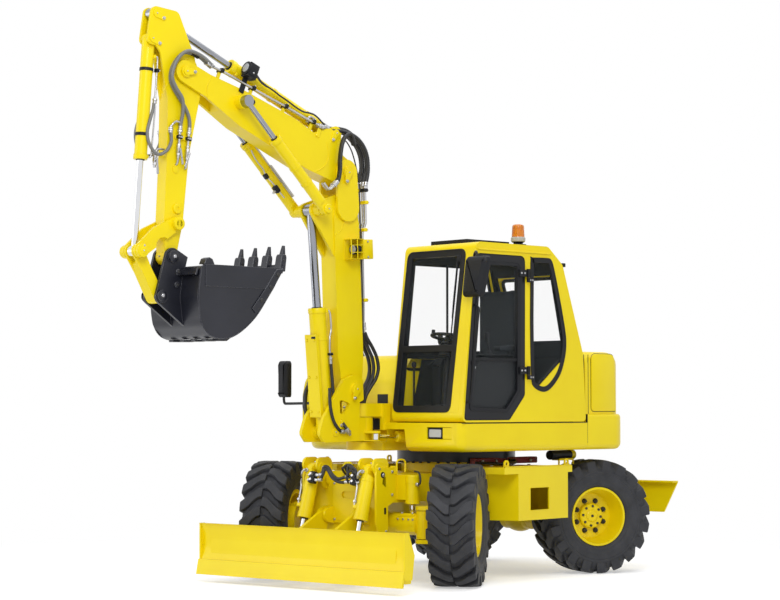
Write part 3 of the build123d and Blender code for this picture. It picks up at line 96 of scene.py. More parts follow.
def surface(name, low, high, rough, metal=0.0, coat=0.0, grain=60.0, bump=0.1, soften=0.003, specular=0.5,
            patch=2.5, wear=None):
    """Colour between two near shades in soft patches, roughness and a fine bump, with softened edges."""
    mat, add = new_material(name)
    colour = ramp(add, noise(add, patch), low, high)
    fine = noise(add, grain, 4.0)
    height = add("Bump", {"Strength": bump, "Distance": 0.002, "Height": fine})
    if soften:
        round_edge = add("Bevel", {"Radius": soften}, samples=4).outputs[0]
        mat.node_tree.links.new(round_edge, height.inputs["Normal"])
        if wear:
            flat = add("NewGeometry").outputs["Normal"]
            dot = add("VectorMath", {0: round_edge, 1: flat}, operation="DOT_PRODUCT").outputs["Value"]
            edge = ramp(add, dot, (1, 1, 1), (0, 0, 0), 0.93, 0.99)
            colour = add("Mix", {0: edge, 6: colour, 7: (*wear, 1)}, data_type="RGBA").outputs[2]
    shader = add("BsdfPrincipled", {
        "Base Color": colour, "Roughness": spread(add, fine, *rough), "Metallic": metal, "Coat Weight": coat,
        "Coat Roughness": 0.08, "Specular IOR Level": specular, "Normal": height.outputs[0]})
    add("OutputMaterial", {0: shader.outputs[0]})
    return mat


YELLOW = surface("yellow_enamel", (0.90, 0.69, 0.001), (0.94, 0.745, 0.002), (0.30, 0.40), coat=0.08,
                 grain=180, bump=0.03, specular=0.28)
BLACK_PAINT = surface("black_enamel", (0.005, 0.0055, 0.0075), (0.009, 0.010, 0.013), (0.25, 0.38), coat=0.1,
                      grain=150, bump=0.04, specular=0.25)
BLACK_TRIM = surface("black_moulding", (0.006, 0.0065, 0.0085), (0.012, 0.013, 0.016), (0.42, 0.58),
                     grain=400, bump=0.25, soften=0.0015, specular=0.25)
HOSE = surface("hose_rubber", (0.012, 0.012, 0.013), (0.022, 0.022, 0.024), (0.42, 0.55), grain=500, bump=0.2,
               soften=0)
TYRE = surface("tyre_rubber_worn", (0.014, 0.015, 0.019), (0.030, 0.031, 0.037), (0.55, 0.75), grain=120,
               bump=0.35, patch=9.0, soften=0.004)
BUCKET = surface("bucket_steel", (0.009, 0.010, 0.016), (0.016, 0.017, 0.026), (0.28, 0.42), metal=0.1,
                 grain=90, bump=0.15, wear=(0.16, 0.16, 0.18))
CAST = surface("dark_casting", (0.018, 0.018, 0.018), (0.035, 0.034, 0.033), (0.5, 0.7), grain=200, bump=0.5)
STEEL = surface("zinc_steel", (0.42, 0.42, 0.44), (0.58, 0.58, 0.60), (0.22, 0.38), metal=0.9, grain=300,
                bump=0.08)
CHROME = surface("hard_chrome", (0.72, 0.73, 0.75), (0.80, 0.80, 0.82), (0.06, 0.12), metal=1.0, grain=700,
                 bump=0.02, soften=0)
ROD_DARK = surface("hardened_rod", (0.30, 0.31, 0.34), (0.38, 0.39, 0.43), (0.16, 0.26), metal=1.0, grain=700,
                   bump=0.02, soften=0)
GREY_HOSE = surface("braided_hose", (0.15, 0.15, 0.145), (0.24, 0.24, 0.23), (0.45, 0.6), metal=0.2,
                    grain=900, bump=0.4, soften=0, patch=600)
BRASS = surface("yellow_zinc", (0.45, 0.33, 0.09), (0.55, 0.42, 0.14), (0.3, 0.42), metal=0.8, grain=300,
                bump=0.1)
OXIDE = surface("red_primer", (0.16, 0.010, 0.018), (0.24, 0.016, 0.026), (0.45, 0.6), grain=200, bump=0.2)
CLOTH = surface("seat_weave", (0.016, 0.019, 0.024), (0.026, 0.030, 0.037), (0.8, 0.95), grain=500, bump=0.25,
                soften=0, patch=420)
LINING = surface("cab_lining", (0.010, 0.011, 0.013), (0.017, 0.018, 0.021), (0.6, 0.8), grain=300, bump=0.3,
                 soften=0.002, specular=0.25)
DIAL = surface("pale_moulding", (0.42, 0.42, 0.41), (0.5, 0.5, 0.49), (0.4, 0.5), grain=300, bump=0.05)


def glass(name, tint, alpha, rough=0.0):
    """Window glass: mostly clear with a light tint, and a clean reflection."""
    mat, add = new_material(name)
    smear = spread(add, noise(add, 3.0, 2.0), rough, rough + 0.05)
    shader = add("BsdfPrincipled", {"Base Color": (*tint, 1), "Roughness": smear, "IOR": 1.45,
                                    "Alpha": alpha})
    add("OutputMaterial", {0: shader.outputs[0]})
    return mat


WINDOW = glass("window_glass", (0.30, 0.36, 0.36), 0.02)
LENS = glass("lamp_lens", (0.85, 0.88, 0.9), 0.45, 0.05)
MIRROR = surface("mirror_face", (0.75, 0.76, 0.78), (0.8, 0.8, 0.82), (0.02, 0.04), metal=1.0, grain=5,
                 bump=0.0, soften=0)


def amber():
    mat, add = new_material("amber_lens")
    wide = noise(add, 40.0)
    colour = ramp(add, wide, (0.75, 0.20, 0.004), (0.9, 0.32, 0.01))
    shader = add("BsdfPrincipled", {"Base Color": colour, "Roughness": spread(add, wide, 0.12, 0.22),
                                    "Transmission Weight": 0.35})
    add("OutputMaterial", {0: shader.outputs[0]})
    return mat


AMBER = amber()


# ---------------------------------------------------------------- the CAD pieces' finishes
FINISH = {
    "slew_ring": BLACK_PAINT, "drivetrain": CAST, "blade_cylinder_rods": CHROME, "engine_block": CAST,
    "cab_glass": WINDOW, "door_glass": WINDOW, "roof_hatch": BLACK_TRIM, "seat": CLOTH,
    "cab_controls": BLACK_TRIM, "mirrors": BLACK_TRIM, "beacon": AMBER, "headlamp": BLACK_TRIM,
    "swing_cylinder_rod": CHROME, "bucket": BUCKET, "bucket_teeth": BUCKET, "lift_cylinder_rod": ROD_DARK,
    "positioning_cylinder_rods": ROD_DARK, "arm_cylinder_rod": ROD_DARK, "bucket_cylinder_rod": CHROME,
    "boom_lower_lamp": BLACK_TRIM, "boom_upper_lamp": BLACK_TRIM, "tyre_front_left": TYRE,
    "tyre_front_right": TYRE, "tyre_rear_left": TYRE, "tyre_rear_right": TYRE, "door_panel": BLACK_PAINT,
}
for node, obj in frame["nodes"].items():
    finish = FINISH.get(node, YELLOW)
    for slot in obj.material_slots:
        slot.material = finish


# ---------------------------------------------------------------- stage
def studio_floor():
    """A pale floor that fades to the backdrop's white away from the object."""
    size = 60.0
    mesh = bpy.data.meshes.new("floor")
    mesh.from_pydata([(-size, -size, 0), (size, -size, 0), (size, size, 0), (-size, size, 0)], [],
                     [(0, 1, 2, 3)])
    floor = bpy.data.objects.new("floor", mesh)
    bpy.context.scene.collection.objects.link(floor)
    mat, add = new_material("studio_floor")
    path = add("LightPath").outputs
    seen = add("Math", {0: path["Is Camera Ray"], 1: path["Is Glossy Ray"]}, operation="MAXIMUM").outputs[0]
    matt = add("BsdfDiffuse", {"Color": (0.92, 0.92, 0.93, 1)}).outputs[0]
    lift = add("Emission", {"Strength": 0.42}).outputs[0]
    both = add("AddShader", {0: matt, 1: lift}).outputs[0]
    near = add("MixShader", {0: seen, 1: matt, 2: both}).outputs[0]
    away = add("VectorMath", {0: add("TexCoord").outputs["Object"]}, operation="LENGTH").outputs["Value"]
    fade = add("MapRange", {"From Min": 3.0, "From Max": 6.5, "Value": away}, interpolation_type="SMOOTHSTEP")
    apart = add("Math", {0: fade.outputs[0], 1: seen}, operation="MULTIPLY").outputs[0]
    white = add("Emission").outputs[0]
    last = add("MixShader", {0: apart, 1: near, 2: white}).outputs[0]
    add("OutputMaterial", {0: last})
    mesh.materials.append(mat)


def studio_world():
    """A dim sky that the camera, glass and reflections see as white."""
    world = bpy.data.worlds.new("studio")
    bpy.context.scene.world = world
    world.use_nodes = True
    world.node_tree.nodes.clear()
    add = adder(world.node_tree)
    dim = add("Background", {"Color": (0.95, 0.97, 1.0, 1), "Strength": 0.55}).outputs[0]
    white = add("Background", {"Color": (1, 1, 1, 1), "Strength": 1.0}).outputs[0]
    path = add("LightPath").outputs
    seen = add("Math", {0: path["Is Camera Ray"], 1: path["Is Transmission Ray"]},
               operation="MAXIMUM").outputs[0]
    seen = add("Math", {0: seen, 1: path["Is Glossy Ray"]}, operation="MAXIMUM").outputs[0]
    pick = add("MixShader", {0: seen, 1: dim, 2: white}).outputs[0]
    add("OutputWorld", {0: pick})


def studio_lights():
    for name, where, size, power, aim in (
        ("key", (9.0, 7.5, 9.5), 5.0, 700, (0, 0, 1.6)),
        ("fill", (10.0, -8.0, 4.5), 6.0, 235, (0, 0, 1.8)),
        ("top", (-1.0, 1.0, 11.0), 7.0, 340, (0, 0, 0)),
    ):
        data = bpy.data.lights.new(name, "AREA")
        data.energy = power
        data.size = size
        lamp = bpy.data.objects.new(name, data)
        lamp.location = where
        lamp.rotation_euler = (Vector(aim) - Vector(where)).to_track_quat("-Z", "Y").to_euler()
        bpy.context.scene.collection.objects.link(lamp)


studio_floor()
studio_world()
studio_lights()

SLEW = Vector(JOINTS["slew"]["pos_m"])


def camera():
    """The photograph's view; its focal length and shift are in pixels of a picture 780 wide."""
    turn, far, high = math.radians(38.0), 20.0, 1.6
    focal, side, tilt, wide = 2100.0, -66.0, math.radians(2.83), 780.0
    back = Vector((math.cos(turn), math.sin(turn), 0))
    right = Vector((-math.sin(turn), math.cos(turn), 0))
    yaw = math.atan2(side, focal)
    level = -back * math.cos(yaw) + right * math.sin(yaw)
    across = right * math.cos(yaw) + back * math.sin(yaw)
    forward = level * math.cos(tilt) + Vector((0, 0, 1)) * math.sin(tilt)
    up = Vector((0, 0, 1)) * math.cos(tilt) - level * math.sin(tilt)
    data = bpy.data.cameras.new("camera")
    data.sensor_width = 36.0
    data.lens = focal * 36.0 / wide
    data.clip_end = 200.0
    cam = bpy.data.objects.new("camera", data)
    spot = back * far + Vector((SLEW.x, SLEW.y, high))
    turn_to = Matrix((across, up, -forward)).transposed()
    cam.matrix_world = Matrix.Translation(spot) @ turn_to.to_4x4()
    bpy.context.scene.collection.objects.link(cam)
    bpy.context.scene.camera = cam


camera()
bpy.context.scene.view_settings.view_transform = "Standard"

# ---------------------------------------------------------------- frames of reference
UP = Vector((0, 0, 1))


def place(name):
    return Vector(JOINTS[name]["pos_m"])


def axes(origin, along, side):
    """A local frame: x along, y to the side, z the third way."""
    along, side = along.normalized(), side.normalized()
    third = along.cross(side)
    return Matrix.Translation(origin) @ Matrix((along, side, third)).transposed().to_4x4()


CHASSIS = Matrix.Translation((SLEW.x, SLEW.y, 0))
AHEAD = place("boom_swing") - SLEW
AHEAD.z = 0
AHEAD.normalize()
LEFT = UP.cross(AHEAD)
DECK = axes(Vector((SLEW.x, SLEW.y, 0)), AHEAD, LEFT)


def member(start, end):
    return axes(start, end - start, LEFT)


def along_slide(pivot, stroke, side=None):
    """A cylinder's own frame, from its base pin along its stroke."""
    return axes(place(pivot), Vector(JOINTS[stroke]["axis"]), side or LEFT)


LOWER = member(place("boom_lift"), place("boom_fold"))
UPPER = member(place("boom_fold"), place("arm_swing"))
ARM = member(place("arm_swing"), place("bucket_curl"))
ROCKER = member(place("rocker_pivot"), place("link_pivot"))
BUCKET_AT = axes(place("bucket_curl"), AHEAD, LEFT)
LIFT_CYL = along_slide("lift_cylinder_barrel_pivot", "lift_cylinder_stroke")
POS_CYL = along_slide("positioning_cylinder_barrel_pivot", "positioning_cylinder_stroke")
ARM_CYL = along_slide("arm_cylinder_barrel_pivot", "arm_cylinder_stroke")
BUCKET_CYL = along_slide("bucket_cylinder_barrel_pivot", "bucket_cylinder_stroke")
BLADE_CYL = along_slide("blade_cylinder_barrel_pivot", "blade_cylinder_stroke", Vector((0, 1, 0)))


def wheel_frame(corner):
    axle = Vector(JOINTS["spin_" + corner]["axis"]) * (1 if corner.endswith("left") else -1)
    return axes(place("spin_" + corner), axle.cross(UP), axle)


# ---------------------------------------------------------------- mesh building
def mm(*values):
    return Vector(values) * MM


def shift(x, y, z):
    return Matrix.Translation(Vector((x, y, z)) * MM)


def upright(way):
    """A direction that is well away from a unit vector: up, or along x when the vector is near upright."""
    return Vector((0, 0, 1)) if abs(way.z) < 0.9 else Vector((1, 0, 0))


def stacked(rings):
    """The points and faces of a closed solid through rings of one size."""
    n = len(rings[0])
    verts = [v for ring in rings for v in ring]
    faces = [tuple(range(n)), tuple(range(len(verts) - 1, len(verts) - n - 1, -1))]
    faces += [(r * n + i, (r + 1) * n + i, (r + 1) * n + (i + 1) % n, r * n + (i + 1) % n)
              for r in range(len(rings) - 1) for i in range(n)]
    return verts, faces


class Piece:
    """Solids in millimetres, each placed by a frame, gathered in one mesh that rides a body."""

    def __init__(self, name, body, *materials):
        self.name, self.body, self.materials = name, body, materials
        self.mesh = bmesh.new()

    def take(self, verts, faces, at, material=0, smooth=True):
        made = [self.mesh.verts.new(at @ (Vector(v) * MM)) for v in verts]
        out = []
        for face in faces:
            f = self.mesh.faces.new([made[i] for i in face])
            f.material_index = material
            f.smooth = smooth
            out.append(f)
        return out

    def prism(self, points, low, high, at, axis="y", material=0, bevel=0.0, steps=1):
        """An outline in the plane across an axis, drawn out along it."""
        spot = {"y": lambda p, t: (p[0], t, p[1]), "z": lambda p, t: (p[0], p[1], t),
                "x": lambda p, t: (t, p[0], p[1])}[axis]
        verts, faces = stacked([[spot(p, t) for p in points] for t in (low, high)])
        if not bevel:
            return self.take(verts, faces, at, material, False)
        side = bmesh.new()
        made = [side.verts.new(v) for v in verts]
        for face in faces:
            side.faces.new([made[i] for i in face])
        bmesh.ops.recalc_face_normals(side, faces=side.faces)
        bmesh.ops.bevel(side, geom=list(side.edges), offset=bevel, segments=steps, affect="EDGES",
                        profile=0.5)
        side.verts.index_update()
        spots = [v.co[:] for v in side.verts]
        out = self.take(spots, [[v.index for v in f.verts] for f in side.faces], at, material)
        side.free()
        return out

    def box(self, x, y, z, at, material=0, bevel=0.0, steps=1):
        return self.prism([(x[0], z[0]), (x[1], z[0]), (x[1], z[1]), (x[0], z[1])], y[0], y[1], at, "y",
                          material, bevel, steps)

    def lathe(self, profile, at, axis="y", sides=32, material=0, closed=True):
        """A profile of (radius, along) turned about the frame's axis."""
        spin = {"y": lambda r, t, a: (r * math.cos(a), t, r * math.sin(a)),
                "z": lambda r, t, a: (r * math.cos(a), r * math.sin(a), t),
                "x": lambda r, t, a: (t, r * math.cos(a), r * math.sin(a))}[axis]
        n = len(profile)
        verts = [spin(r, t, 2 * math.pi * s / sides) for s in range(sides) for r, t in profile]
        faces = []
        for s in range(sides):
            one, two = s * n, ((s + 1) % sides) * n
            for i in range(n if closed else n - 1):
                k = (i + 1) % n
                faces.append((one + i, one + k, two + k, two + i))
        return self.take(verts, faces, at, material)

    def turned(self, profile, at, axis="y", sides=32, material=0):
        """A solid of revolution: the profile starts and ends near the axis."""
        faces = self.lathe(profile, at, axis, sides, material, closed=False)
        n = len(profile)
        for i in (0, n - 1):
            loop = []
            for s in range(sides):
                quad = faces[s * (n - 1) + (0 if i == 0 else n - 2)]
                loop.append(quad.verts[0] if i == 0 else quad.verts[1])
            cap = self.mesh.faces.new(loop)
            cap.material_index = material
            cap.smooth = True
        return faces

    def rod(self, start, end, radius, at, sides=16, material=0, chamfer=None):
        start, end = Vector(start), Vector(end)
        way = end - start
        length = way.length
        u = way.cross(upright(way.normalized())).normalized()
        way.normalize()
        local = Matrix.Translation(start * MM) @ Matrix((u, way, u.cross(way))).transposed().to_4x4()
        c = min(radius * 0.25, 3.0, length * 0.3) if chamfer is None else chamfer
        if c > 0:
            profile = [(radius - c, 0), (radius, c), (radius, length - c), (radius - c, length)]
        else:
            profile = [(radius, 0), (radius, length)]
        return self.turned(profile, at @ local, "y", sides, material)

    def hose(self, points, radius, at, sides=10, step=25.0, material=0, ribs=0.0, pitch=16.0):
        """A round hose through the points, in a smooth curve, corrugated when it has ribs."""
        path = curve_through([Vector(p) for p in points], pitch / 2 if ribs else step)
        ring_prev = first = normal = None
        for i, spot in enumerate(path):
            ahead = path[min(i + 1, len(path) - 1)] - path[max(i - 1, 0)]
            ahead.normalize()
            if normal is None:
                normal = ahead.cross(upright(ahead)).normalized()
            normal = (normal - ahead * normal.dot(ahead)).normalized()
            across = ahead.cross(normal)
            r = radius + (ribs if i % 2 else 0)
            turns = (2 * math.pi * s / sides for s in range(sides))
            around = [normal * math.cos(a) + across * math.sin(a) for a in turns]
            ring = [self.mesh.verts.new(at @ ((spot + out * r) * MM)) for out in around]
            if ring_prev:
                for s in range(sides):
                    f = self.mesh.faces.new((ring_prev[s], ring_prev[(s + 1) % sides], ring[(s + 1) % sides],
                                             ring[s]))
                    f.material_index = material
                    f.smooth = True
            else:
                first = ring
            ring_prev = ring
        for ring in (first, ring_prev):
            f = self.mesh.faces.new(ring)
            f.material_index = material
        return path

    def done(self, angle=35.0, across=None):
        """The finished object; when across = (body, body, start, end) is given, the object stays in world
        space and rides no body, and the bodies and spots in it are not used.
        """
        bmesh.ops.remove_doubles(self.mesh, verts=self.mesh.verts, dist=1e-6)
        bmesh.ops.recalc_face_normals(self.mesh, faces=self.mesh.faces)
        data = bpy.data.meshes.new(self.name)
        self.mesh.to_mesh(data)
        self.mesh.free()
        for polygon in data.polygons:
            polygon.use_smooth = True
        data.set_sharp_from_angle(angle=math.radians(angle))
        for material in self.materials:
            data.materials.append(material)
        obj = bpy.data.objects.new(self.name, data)
        bpy.context.scene.collection.objects.link(obj)
        if across:
            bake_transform(obj)
        else:
            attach(obj, self.body)
        return obj


def curve_through(points, step):
    """Points every step along a Catmull-Rom curve."""
    if len(points) == 2:
        n = max(1, int((points[1] - points[0]).length / step))
        return [points[0].lerp(points[1], i / n) for i in range(n + 1)]
    full = [points[0] * 2 - points[1], *points, points[-1] * 2 - points[-2]]
    out = []
    for i in range(1, len(full) - 2):
        a, b, c, d = full[i - 1:i + 3]
        n = max(2, int((c - b).length / step))
        for k in range(n):
            t = k / n
            out.append(0.5 * ((2 * b) + (c - a) * t + (2 * a - 5 * b + 4 * c - d) * t * t
                              + (3 * b - a - 3 * c + d) * t ** 3))
    out.append(points[-1].copy())
    return out


def ring_of(count, radius, offset=0.0, start=0.0):
    """Spots round a circle in the plane across Y."""
    return [(radius * math.cos(start + 2 * math.pi * i / count), offset,
             radius * math.sin(start + 2 * math.pi * i / count)) for i in range(count)]


# ---------------------------------------------------------------- tyres and rims
TREAD, CROWN, HALF_TYRE = 537.0, 503.0, 205.0
CORNERS = ("front_left", "front_right", "rear_left", "rear_right")


def crown_at(y):
    """Radius of the carcass under the lugs, at a distance from the tyre's middle plane."""
    t = min(abs(y) / HALF_TYRE, 1.0)
    return CROWN - 4 * t * t - (62 * ((t - 0.68) / 0.32) ** 2 if t > 0.68 else 0)


def lug_edges(y):
    """Where a lug's leading and trailing edges lie along the tread, at a distance from the middle."""
    lead = ((4, 102), (44, 104), (88, 62), (135, 20), (170, -8), (203, -34))
    trail = ((4, 12), (40, 2), (78, -30), (119, -80), (160, -112), (203, -126))
    out = []
    for line in (lead, trail):
        for (a, p), (b, q) in zip(line, line[1:]):
            if y <= b:
                out.append(p + (q - p) * (max(y, a) - a) / (b - a))
                break
    return out


def lug(piece, at, side, turn):
    """One tread lug: sections across it at stations from the middle to the shoulder."""
    stations = (4, 14, 36, 56, 76, 98, 120, 142, 164, 184, 197, 203)
    rows = []
    for y in stations:
        lead, trail = lug_edges(y)
        base = crown_at(y) - 8
        top = TREAD - 0.5 - 9 * max(0.0, (y - 120) / 83) ** 2 - (5 if y > 200 else 0) - (5 if y < 6 else 0)
        mid = (lead + trail) / 2
        wide = (lead - trail) / 2
        flare = 9 if y < 190 else 5
        half_up = base + (top - base) * 0.5
        section = ((wide + flare, base), (wide + 3, half_up), (wide - 1, top - 8), (wide - 7, top),
                   (0, top + 0.4), (7 - wide, top), (1 - wide, top - 8), (-wide - 3, half_up),
                   (-wide - flare, base))
        row = []
        for across, r in section:
            angle = turn + (mid + across) / TREAD
            row.append((r * math.sin(angle), side * y, r * math.cos(angle)))
        rows.append(row)
    n = len(rows[0])
    verts = [v for row in rows for v in row]
    faces = [(i * n + k, i * n + k + 1, (i + 1) * n + k + 1, (i + 1) * n + k)
             for i in range(len(rows) - 1) for k in range(n - 1)]
    faces += [tuple(range(n)), tuple(range(len(verts) - n, len(verts)))]
    piece.take(verts, faces, at)


def tyre(corner):
    at = wheel_frame(corner)
    piece = Piece("tyre_tread_" + corner, "wheel_" + corner, TYRE)
    outer = [(CROWN, 0), (CROWN - 0.3, 60), (CROWN - 2, 120), (crown_at(150), 150), (crown_at(172), 172),
             (crown_at(190), 190), (436, 199), (430, 203), (418, 204.6), (412, 201.5), (404, 201.5),
             (398, 204.8), (378, 204.5), (360, 202), (352, 203.5), (344, 201), (330, 196), (316, 190),
             (308, 190.5), (300, 186), (291, 179), (283, 172), (278, 162), (276, 158), (255, 150)]
    profile = outer + [(r, -y) for r, y in reversed(outer[1:])]
    piece.lathe(profile, at, "y", 96, 0)
    lugs = 19
    for step in range(lugs):
        for side in (1, -1):
            turn = (step + (0.5 if side < 0 else 0.0)) * 2 * math.pi / lugs
            if corner.endswith("right"):
                side = -side
            lug(piece, at, side, turn)
            middle = turn - 114 / TREAD - math.pi / lugs * 0.9
            for k in (-1, 1):
                a = middle + k * 0.022
                cos_a, sin_a = math.cos(a), math.sin(a)
                rib = [(r * sin_a + w * cos_a, side * y, r * cos_a - w * sin_a)
                       for r, y, w in ((474, 186, -5), (474, 186, 5), (452, 200, 6), (452, 200, -6),
                                       (428, 204.8, -4), (428, 204.8, 4))]
                piece.take(rib, [(0, 1, 2, 3), (3, 2, 5, 4)], at)
    obj = piece.done(28)
    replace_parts(obj, "tyre_" + corner)


def rim(corner):
    at = wheel_frame(corner)
    piece = Piece("rim_fittings_" + corner, "wheel_" + corner, YELLOW, CAST, BLACK_TRIM, STEEL)
    face, hub = -20.0, 26.0
    for x, y, z in ring_of(8, 150, face, math.pi / 8):
        local = at @ shift(x, y, z)
        piece.turned([(25, 0), (25, 5), (21, 7)], local, "y", 20, 1)
        piece.turned([(21, 5), (22, 7), (22, 22), (19, 27), (12, 29)], local, "y", 6, 1)
        piece.turned([(11, 25), (11, 40), (8, 43)], local, "y", 14, 1)
    for x, y, z in ring_of(8, 92, hub, 0.1):
        local = at @ shift(x, y, z)
        piece.turned([(13, 0), (13, 7), (10, 10)], local, "y", 6, 1)
    piece.turned([(58, hub), (58, hub + 7), (50, hub + 12)], at, "y", 40, 0)
    piece.turned([(14, hub + 10), (14, hub + 17), (10, hub + 20)], at, "y", 6, 1)
    piece.lathe([(214, face + 2), (206, face + 3), (204, face - 2), (216, face - 2)], at, "y", 64, 0)
    piece.lathe([(276.4, 160), (270, 160), (262, 165), (262, 170.5), (276.4, 170.5)], at, "y", 72, 0)
    stem = at @ Matrix.Rotation(0.6, 4, "Y")
    piece.rod((232, -4, 0), (238, 30, 0), 5, stem, 12, 2)
    piece.rod((238, 30, 0), (240, 42, 0), 6.5, stem, 12, 3)
    for k in range(4):
        turn = at @ Matrix.Rotation(k * math.pi / 2 + 0.35, 4, "Y")
        piece.rod((252, 55, -22), (252, 55, 22), 4, turn, 8, 0)
    piece.done(30)


for corner in CORNERS:
    tyre(corner)
    rim(corner)


# ---------------------------------------------------------------- cab
CAB_LEFT, CAB_RIGHT, CAB_BASE, CAB_TOP = 1130.0, 225.0, 1436.0, 3040.0
BELT = CAB_BASE + 629.0
RAKE = 190.0 / 1604.0


def front_x(z):
    """The windscreen plane's x at a height."""
    return 1060.0 - RAKE * (z - CAB_BASE)


def rounded(points, radius, steps=5):
    """An outline with each corner rounded."""
    n, out = len(points), []
    radii = radius if isinstance(radius, (list, tuple)) else [radius] * n
    for i, (p, r) in enumerate(zip(points, radii)):
        here, before, after = Vector(p), Vector(points[i - 1]), Vector(points[(i + 1) % n])
        one, two = (before - here).normalized(), (after - here).normalized()
        half = math.acos(max(-1, min(1, one.dot(two)))) / 2
        back = min(r / math.tan(half), (before - here).length * 0.49, (after - here).length * 0.49)
        start, end = here + one * back, here + two * back
        for k in range(steps + 1):
            t = k / steps
            out.append(tuple(start * (1 - t) ** 2 + here * 2 * t * (1 - t) + end * t ** 2))
    return out


def inset(points, by):
    """A closed outline moved inwards by a distance, square to its sides."""
    n = len(points)
    area = sum(p[0] * q[1] - q[0] * p[1] for p, q in zip(points, points[1:] + points[:1]))
    turn = 1 if area > 0 else -1
    out = []
    for i in range(n):
        a, b, c = Vector(points[i - 1]), Vector(points[i]), Vector(points[(i + 1) % n])
        d1, d2 = b - a, c - b
        if d1.length < 1e-6 or d2.length < 1e-6:
            d1 = d2 = d1 if d1.length > d2.length else d2
        n1 = Vector((-d1.y, d1.x)).normalized() * turn
        n2 = Vector((-d2.y, d2.x)).normalized() * turn
        m = n1 + n2
        m = m / max(m.length_squared / 2, 0.3)
        out.append(tuple(b + m * by))
    return out


def frame_strip(piece, loop, wide, spot, low, high, at, material=0, round_over=3.0):
    """A moulded strip along a closed outline: a low rounded section between two depths."""
    inner = inset(loop, wide)
    edge = inset(loop, round_over)
    inner_edge = inset(loop, wide - round_over)
    rings = [[spot(p, low) for p in loop], [spot(p, high - round_over) for p in loop],
             [spot(p, high) for p in edge], [spot(p, high) for p in inner_edge],
             [spot(p, high - round_over) for p in inner], [spot(p, low) for p in inner]]
    n, m = len(loop), len(rings)
    verts = [v for ring in rings for v in ring]
    faces = [(r * n + i, r * n + (i + 1) % n, ((r + 1) % m) * n + (i + 1) % n, ((r + 1) % m) * n + i)
             for r in range(m) for i in range(n)]
    piece.take(verts, faces, at, material)


def smooth_loop(points, count):
    """A closed smooth curve through the points, evenly divided."""
    pts = [Vector((p[0], p[1], 0)) for p in points]
    n, fine = len(pts), []
    for i in range(n):
        a, b, c, d = pts[i - 1], pts[i], pts[(i + 1) % n], pts[(i + 2) % n]
        for k in range(12):
            t = k / 12
            fine.append(0.5 * ((2 * b) + (c - a) * t + (2 * a - 5 * b + 4 * c - d) * t * t
                               + (3 * b - a - 3 * c + d) * t ** 3))
    total = sum((fine[(i + 1) % len(fine)] - fine[i]).length for i in range(len(fine)))
    out, gone, want = [], 0.0, 0.0
    for i in range(len(fine)):
        a, b = fine[i], fine[(i + 1) % len(fine)]
        run = (b - a).length
        while want < gone + run and len(out) < count:
            out.append(tuple(a.lerp(b, (want - gone) / run))[:2])
            want += total / count
        gone += run
    return out


def pillar_cover():
    """The yellow pillar cover that narrows the windscreen on the door's side."""
    outline = [(960, 1524), (1073, 1524), (1077, 1540), (1077, 2930), (1073, 2946), (1000, 2946)]
    return stacked([[screen_spot(p, t) for p in outline] for t in (-11.5, 2.0)])


def side_spot(p, t):
    """(x, z) on the cab's side, at t to the left."""
    return (p[0], t, p[1])


def screen_spot(p, t):
    """(y, z) on the raked windscreen, t proud of its outer face."""
    return (front_x(p[1]) + t, p[0], p[1])


DOOR_HINGES = (CAB_BASE + 424, CAB_TOP - 300)
DOOR_EDGE = [(1022, CAB_BASE + 26), (876, CAB_TOP - 110), (250, CAB_TOP - 110), (258, CAB_BASE + 244),
             (456, CAB_BASE + 26)]
DOOR_WINDOW = [(966, CAB_BASE + 104), (846, CAB_TOP - 168), (308, CAB_TOP - 168), (316, CAB_BASE + 268),
               (480, CAB_BASE + 84)]
QUARTER = [(176, CAB_TOP - 115), (-118, CAB_TOP - 115), (-300, BELT + 85), (-290, BELT - 35),
           (150, CAB_BASE + 254)]
RIGHT_WINDOW = [(-440, CAB_BASE + 464), (930, CAB_BASE + 464), (850, CAB_TOP - 140), (-180, CAB_TOP - 140)]
FRONT_WINDOW = [(287, CAB_BASE + 109), (1068, CAB_BASE + 109), (1068, CAB_TOP - 110), (287, CAB_TOP - 110)]
SCREEN_EDGE = [(234, 1522), (977, 1522), (1014, 2984), (262, 2984)]
QUARTER_EDGE = [(171, 2915), (151, 2929), (-60, 2934), (-100, 2922), (-130, 2880), (-180, 2720), (-225, 2555),
                (-262, 2410), (-292, 2280), (-306, 2170), (-291, 2040), (-235, 1892), (-153, 1791),
                (-57, 1722), (37, 1712), (143, 1761), (169, 1861), (181, 2269), (178, 2600)]
REAR_WINDOW = [(315, BELT + 55), (1040, BELT + 55), (1040, CAB_TOP - 260), (315, CAB_TOP - 260)]


